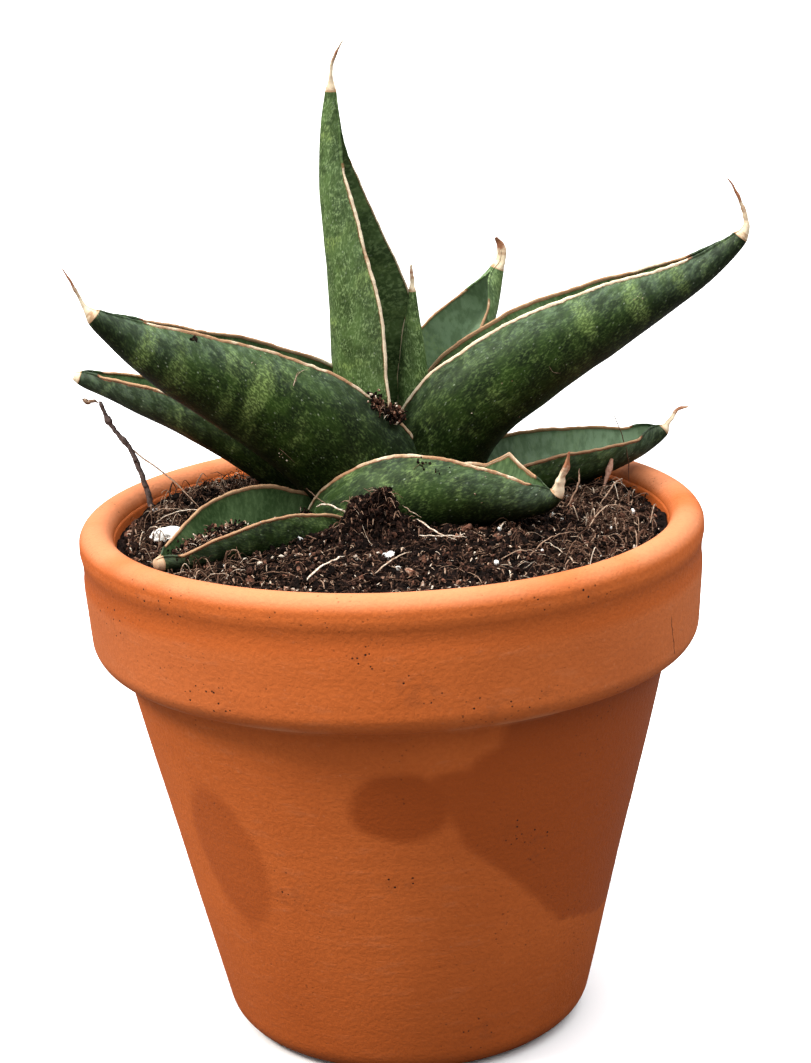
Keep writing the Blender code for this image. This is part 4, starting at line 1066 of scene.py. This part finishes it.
def pinchOfSoil(name, middles, spread, count, grain, strands):
    # crumbs and hairs strewn round a line of middle points
    middles = np.array(middles, float)
    spots, sizes, tries = [], [], 0
    while len(spots) < count and tries < count * 12:
        tries += 1
        size = chance.uniform(*grain)
        spot = middles[chance.integers(len(middles))] + chance.normal(0, 0.5, 3) * np.array(spread)
        if clearOfLeaves(*spot, -1):
            spots.append(spot)
            sizes.append(size)
    crumbCloud(name, spots, sizes, earthTones(len(spots)), soilPaint)
    lines = []
    for spot in (spots[chance.integers(len(spots))] for _ in range(strands)):
        drift = unit(chance.normal(size=3) * np.array([1, 1, 0.5])) * chance.uniform(0.6, 2.2)
        line = [spot, spot + drift * 0.5 + np.array([0, 0, 0.25]), spot + drift]
        lines.append((softLine(line, 8), chance.uniform(0.05, 0.12), chance.uniform(0.3, 1.0)))
    strandCloud(name + "Hairs", lines, fibrePaint)


def channelLine(name, start, end, fill):
    # points in a leaf's channel, from its bottom (fill 0) to the line between its margins (fill 1)
    g = leafGrid
    ring = g["arc"] + 2 * g["bead"] + g["channel"]
    rows = range(int(start * g["blade"]), int(end * g["blade"]))
    vertices = leafPieces[name].data.vertices
    bottom = g["arc"] + g["bead"] + g["channel"] // 2
    sides = g["arc"] + g["bead"] // 2, g["arc"] + g["bead"] + g["channel"] + g["bead"] // 2
    shift = np.array([potAxis[0], potAxis[1], 0])

    def at(row, column):
        return np.array(vertices[row * ring + column].co) / mm - shift

    return [at(row, bottom) * (1 - fill) + (at(row, sides[0]) + at(row,
                                                                   sides[1])) / 2 * fill for row in rows]


# the pinch of soil where the big leaves meet, and the soil lying in the front leaf's channel
pinchOfSoil("heartPinch", [(-2.4, 2.0, 113.4), (-1.0, 1.8, 112.4), (0.6, 2.0, 111.4), (1.8, 2.4, 110.4)],
            (1.5, 1.3, 1.2), 230, (0.18, 0.62), 40)
pinchOfSoil("channelSoil", channelLine("leaf_front_left", 0.60, 0.88, 0.5), (2.6, 2.6, 1.4), 1100,
            (0.16, 0.6), 260)
print("pinches of soil laid")


def onLeaf(name, x, y, z, lift):
    # the nearest place on one leaf's skin, lifted off it a little
    piece = leafPieces[name]
    spot = Vector(((x + potAxis[0]) * mm, (y + potAxis[1]) * mm, z * mm))
    _, near, normal, _ = piece.closest_point_on_mesh(spot)
    return np.array(near + normal * lift * mm) / mm - np.array([potAxis[0], potAxis[1], 0])


# fine hairs lying on the leaves: leaf, points, radius, shade
leafHairs = [
    ("leaf_left", [(-16.6, -3, 117.4), (-15.8, -3, 119.0), (-14.4, -2.4, 120.4), (-12.8, -1.6, 121.0)],
     0.075, 0.80),
    ("leaf_left", [(-16.0, -3, 118.2), (-15.4, -3, 119.8), (-14.6, -2.6, 120.6)], 0.06, 0.75),
    ("leaf_left", [(-19.0, -4, 107.0), (-17.6, -4, 105.2), (-16.8, -4, 103.4)], 0.07, 0.7),
    ("leaf_right", [(28.5, 1.6, 118.6), (29.3, 1.6, 117.4), (30.6, 2, 117.0)], 0.07, 0.75),
    ("leaf_front_right", [(4.0, -9, 103.6), (5.0, -9, 104.8), (6.4, -9, 105.0)], 0.08, 0.35),
    ("leaf_low_left", [(-21, 12, 103), (-19, 12, 100), (-17.5, 12, 97)], 0.07, 0.6),
]
strandCloud("leafHairs", [(softLine([onLeaf(name, *at, 0.16) for at in line], 9), radius, shade)
                          for name, line, radius, shade in leafHairs], fibrePaint)

# crumbs stuck to the leaves: leaf, place, how many, spread, size, how pale
leafCrumbs = [
    ("leaf_left", (-32.6, -5.2, 127.2), 9, 0.55, 0.36, 0.25),
    ("leaf_left", (-22.4, -4.3, 122.5), 5, 2.6, 0.16, 0.98),
    ("leaf_left", (-18.5, -3.2, 105.6), 5, 1.2, 0.18, 0.98),
    ("leaf_right", (45.2, 5.1, 128.9), 3, 1.6, 0.15, 0.98),
    ("leaf_right", (20, 1, 112), 4, 4.0, 0.14, 0.9),
    ("leaf_front_right", (5.3, -8, 104.4), 14, 0.9, 0.30, 0.2),
    ("leaf_front_right", (8.7, -9.6, 103.0), 6, 1.5, 0.22, 0.2),
    ("leaf_front_right", (16, -10, 100), 6, 3.0, 0.16, 0.9),
    ("leaf_front_left", (-22, -16, 97), 6, 3.0, 0.18, 0.9),
    ("leaf_front_left", (-30, -21, 95), 6, 2.5, 0.2, 0.3),
    ("leaf_upright", (-3, 5, 122), 4, 4.0, 0.13, 0.9),
]


def strewOnLeaves():
    spots, sizes, tones = [], [], []
    for name, place, count, spread, size, tone in leafCrumbs:
        for _ in range(count):
            at = np.array(place) + chance.normal(0, 0.6, 3) * spread
            spots.append(onLeaf(name, *at, size * 0.4))
            sizes.append(size * chance.uniform(0.6, 1.3))
            tones.append(float(np.clip(tone + chance.normal(0, 0.08), 0, 1)))
    crumbCloud("leafCrumbs", spots, sizes, tones, soilPaint)


strewOnLeaves()


def perliteGrain(name, node, material):
    # a puffed white grain with a pitted skin, in its CAD solid's place
    low, high = (np.array(corner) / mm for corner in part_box(node))
    centre, size = (low + high) / 2, (high - low) / 2
    shape = bmesh.new()
    bmesh.ops.create_icosphere(shape, subdivisions=4, radius=1)
    points, tones = [], []
    for vertex in shape.verts:
        d = vertex.co.normalized()
        swell = 0.92 + 0.22 * noise.noise(d * 1.9 + Vector((centre[0], 0, 0))) + 0.12 * noise.noise(d * 5.5)
        pit = max(0.0, noise.noise(d * 9.0) - 0.15) * 0.35
        points.append(centre - [potAxis[0], potAxis[1], 0] + np.array(d) * size * (swell - pit))
        # tone darker in the pits: painted shade
        tones.append(0.75 - pit * 2.2 + 0.2 * noise.noise(d * 4))
    faces = [tuple(vertex.index for vertex in face.verts) for face in shape.faces]
    shape.free()
    piece = meshPiece(name, points, faces, material, {"shade": tones})
    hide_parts(node)


for node in ("perlite_large", "perlite_front", "perlite_back"):
    perliteGrain(node + "_grain", node, perlitePaint)
spots, sizes = scatter(count=85, least=0.2, most=0.8, power=2.5, gap=0.6)
crumbCloud("perliteBits", spots, sizes, chance.uniform(0.4, 1.0, len(spots)), perlitePaint,
           squash=(0.6, 0.9), smooth=True)
print("perlite set")

# dead twig and dry sheath
twig = {
    "line": [(-52.2, 20, 111.2), (-51.4, 20, 108.8), (-50.6, 19.9, 107), (-49.2, 19.5, 105),
             (-47.2, 19, 102.4),
             (-45.6, 18, 98.4), (-44.4, 17.2, 94.6), (-43.9, 16.9, 92.0)],
    "radius": 0.46, "knots": [(0.24, 0.75, 0.045), (0.50, 0.4, 0.03), (0.05, 0.3, 0.03), (0.68, 0.25, 0.03)],
}
sheath = {"line": [(40.6, 16.4, 97.6), (40.2, 15.6, 96.4), (39.6, 14.6, 95.0), (38.8, 13.6, 93.2)]}


def taperedTube(name, line, radii, sides, material, shade, node):
    points = np.array(line)
    tangent = unit(np.gradient(points, axis=0))
    first = unit(np.cross(tangent, np.array([0.1, 1.0, 0.2])))
    second = np.cross(tangent, first)
    angles = np.linspace(0, 2 * math.pi, sides, endpoint=False)
    rings, tones = [], []
    for i, (point, radius) in enumerate(zip(points, radii)):
        for a in angles:
            rough = 1 + 0.28 * noiseAt(i * 0.35, math.cos(a) * 1.4, math.sin(a) * 1.4)
            rings.append(point + radius * rough * (math.cos(a) * first[i] + math.sin(a) * second[i]))
            tones.append(shade + 0.25 * noiseAt(i * 0.21, math.cos(a), math.sin(a)))
    faces = [face[::-1] for face in gridFaces(len(points), sides)]
    faces += [tuple(range(sides)), tuple((len(points) - 1) * sides + j for j in reversed(range(sides)))]
    piece = meshPiece(name, rings, faces, material, {"shade": tones})
    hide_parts(node)


twigLine = softLine(twig["line"], 90, 0.12, 77)
t = np.linspace(0, 1, 90)
twigRadii = twig["radius"] * np.interp(t, [0, 0.1, 1], [0.45, 0.8, 1.15])
for where, swell, wide in twig["knots"]:
    twigRadii += twig["radius"] * swell * np.exp(-((t - where) / wide) ** 2)
twigPaint = crumbMaterial("deadTwig", [(0.0, (0.03, 0.02, 0.018)), (0.5, (0.12, 0.085, 0.075)),
                                       (1.0, (0.26, 0.20, 0.17))], 0.85, 0.5)
taperedTube("twigStem", twigLine, twigRadii, 10, twigPaint, 0.45, "dead_twig")
sheathPaint = crumbMaterial("drySheath", [(0.0, (0.16, 0.05, 0.03)), (0.5, (0.42, 0.22, 0.15)),
                                          (1.0, (0.66, 0.46, 0.36))], 0.8, 0.4)
taperedTube("sheathScrap", softLine(sheath["line"], 30),
            0.5 * np.interp(np.linspace(0, 1, 30), [0, 0.5, 1], [0.5, 1.3, 0.4]),
            10, sheathPaint, 0.5, "dry_sheath")
print("twig and sheath set")

# floor, light and camera
studio = {
    "floorSeen": (0.93, 0.925, 0.92), "floorBounce": (0.13, 0.125, 0.12),
    "zenith": (0.96, 0.98, 1.0), "zenithStrength": 3.6, "horizonStrength": 0.16, "horizonSeen": 0.95,
    "sun": {"from": (-0.72, -0.30, 0.90), "strength": 2.5, "softness": 14.0, "color": (1.0, 0.94, 0.86)},
}
camera = {"at": (0, -440.2, 213.3), "down": 15.65, "turn": 0.31, "roll": -2.2, "lens": 87.4}
bpy.context.scene.view_settings.view_transform = "Standard"

bpy.ops.mesh.primitive_plane_add(size=8, location=(0, 0, 0))
floor = bpy.context.object
floor.name = "studioFloor"
floorPaint, tree, shader = newMaterial("paleFloor", 0.9)
seen = addNode(tree, "ShaderNodeLightPath").outputs["Is Camera Ray"]
join(tree, (mixColor(tree, seen, studio["floorBounce"], studio["floorSeen"]), shader.inputs["Base Color"]))
floor.data.materials.append(floorPaint)

# an overhead softbox sky: bright above, dim at the horizon
world = bpy.data.worlds.new("studioSky")
bpy.context.scene.world = world
world.use_nodes = True
tree = world.node_tree
sky = tree.nodes["Background"]
sky.inputs["Color"].default_value = (*studio["zenith"], 1)
toward = addNode(tree, "ShaderNodeSeparateXYZ")
join(tree, (addNode(tree, "ShaderNodeTexCoord").outputs["Generated"], toward.inputs[0]))
glow = remap(tree, toward.outputs[2], 0.20, 1.0, studio["horizonStrength"], studio["zenithStrength"])
seen = addNode(tree, "ShaderNodeLightPath").outputs["Is Camera Ray"]
plain = addNode(tree, "ShaderNodeMix", data_type="FLOAT")
plain.inputs[3].default_value = studio["horizonSeen"]
join(tree, (seen, plain.inputs[0]), (glow, plain.inputs[2]), (plain.outputs[0], sky.inputs["Strength"]))

sunData = bpy.data.lights.new("sunLight", "SUN")
sunData.energy, sunData.color = studio["sun"]["strength"], studio["sun"]["color"]
sunData.angle = math.radians(studio["sun"]["softness"])
sun = bpy.data.objects.new("sunLight", sunData)
sun.rotation_euler = Vector(studio["sun"]["from"]).to_track_quat("Z", "Y").to_euler()
bpy.context.scene.collection.objects.link(sun)

lensData = bpy.data.cameras.new("viewCamera")
lensData.lens, lensData.sensor_width, lensData.sensor_fit = camera["lens"], 36, "AUTO"
viewer = bpy.data.objects.new("viewCamera", lensData)
viewer.location = (Vector(camera["at"]) + Vector((*potAxis, 0))) * mm
down, turn = math.radians(camera["down"]), math.radians(camera["turn"])
ahead = Vector((math.sin(turn) * math.cos(down), math.cos(turn) * math.cos(down), -math.sin(down)))
aim = ahead.to_track_quat("-Z", "Y") @ Quaternion((0, 0, 1), math.radians(camera["roll"]))
viewer.rotation_euler = aim.to_euler()
bpy.context.scene.collection.objects.link(viewer)
bpy.context.scene.camera = viewer
print("studio ready")
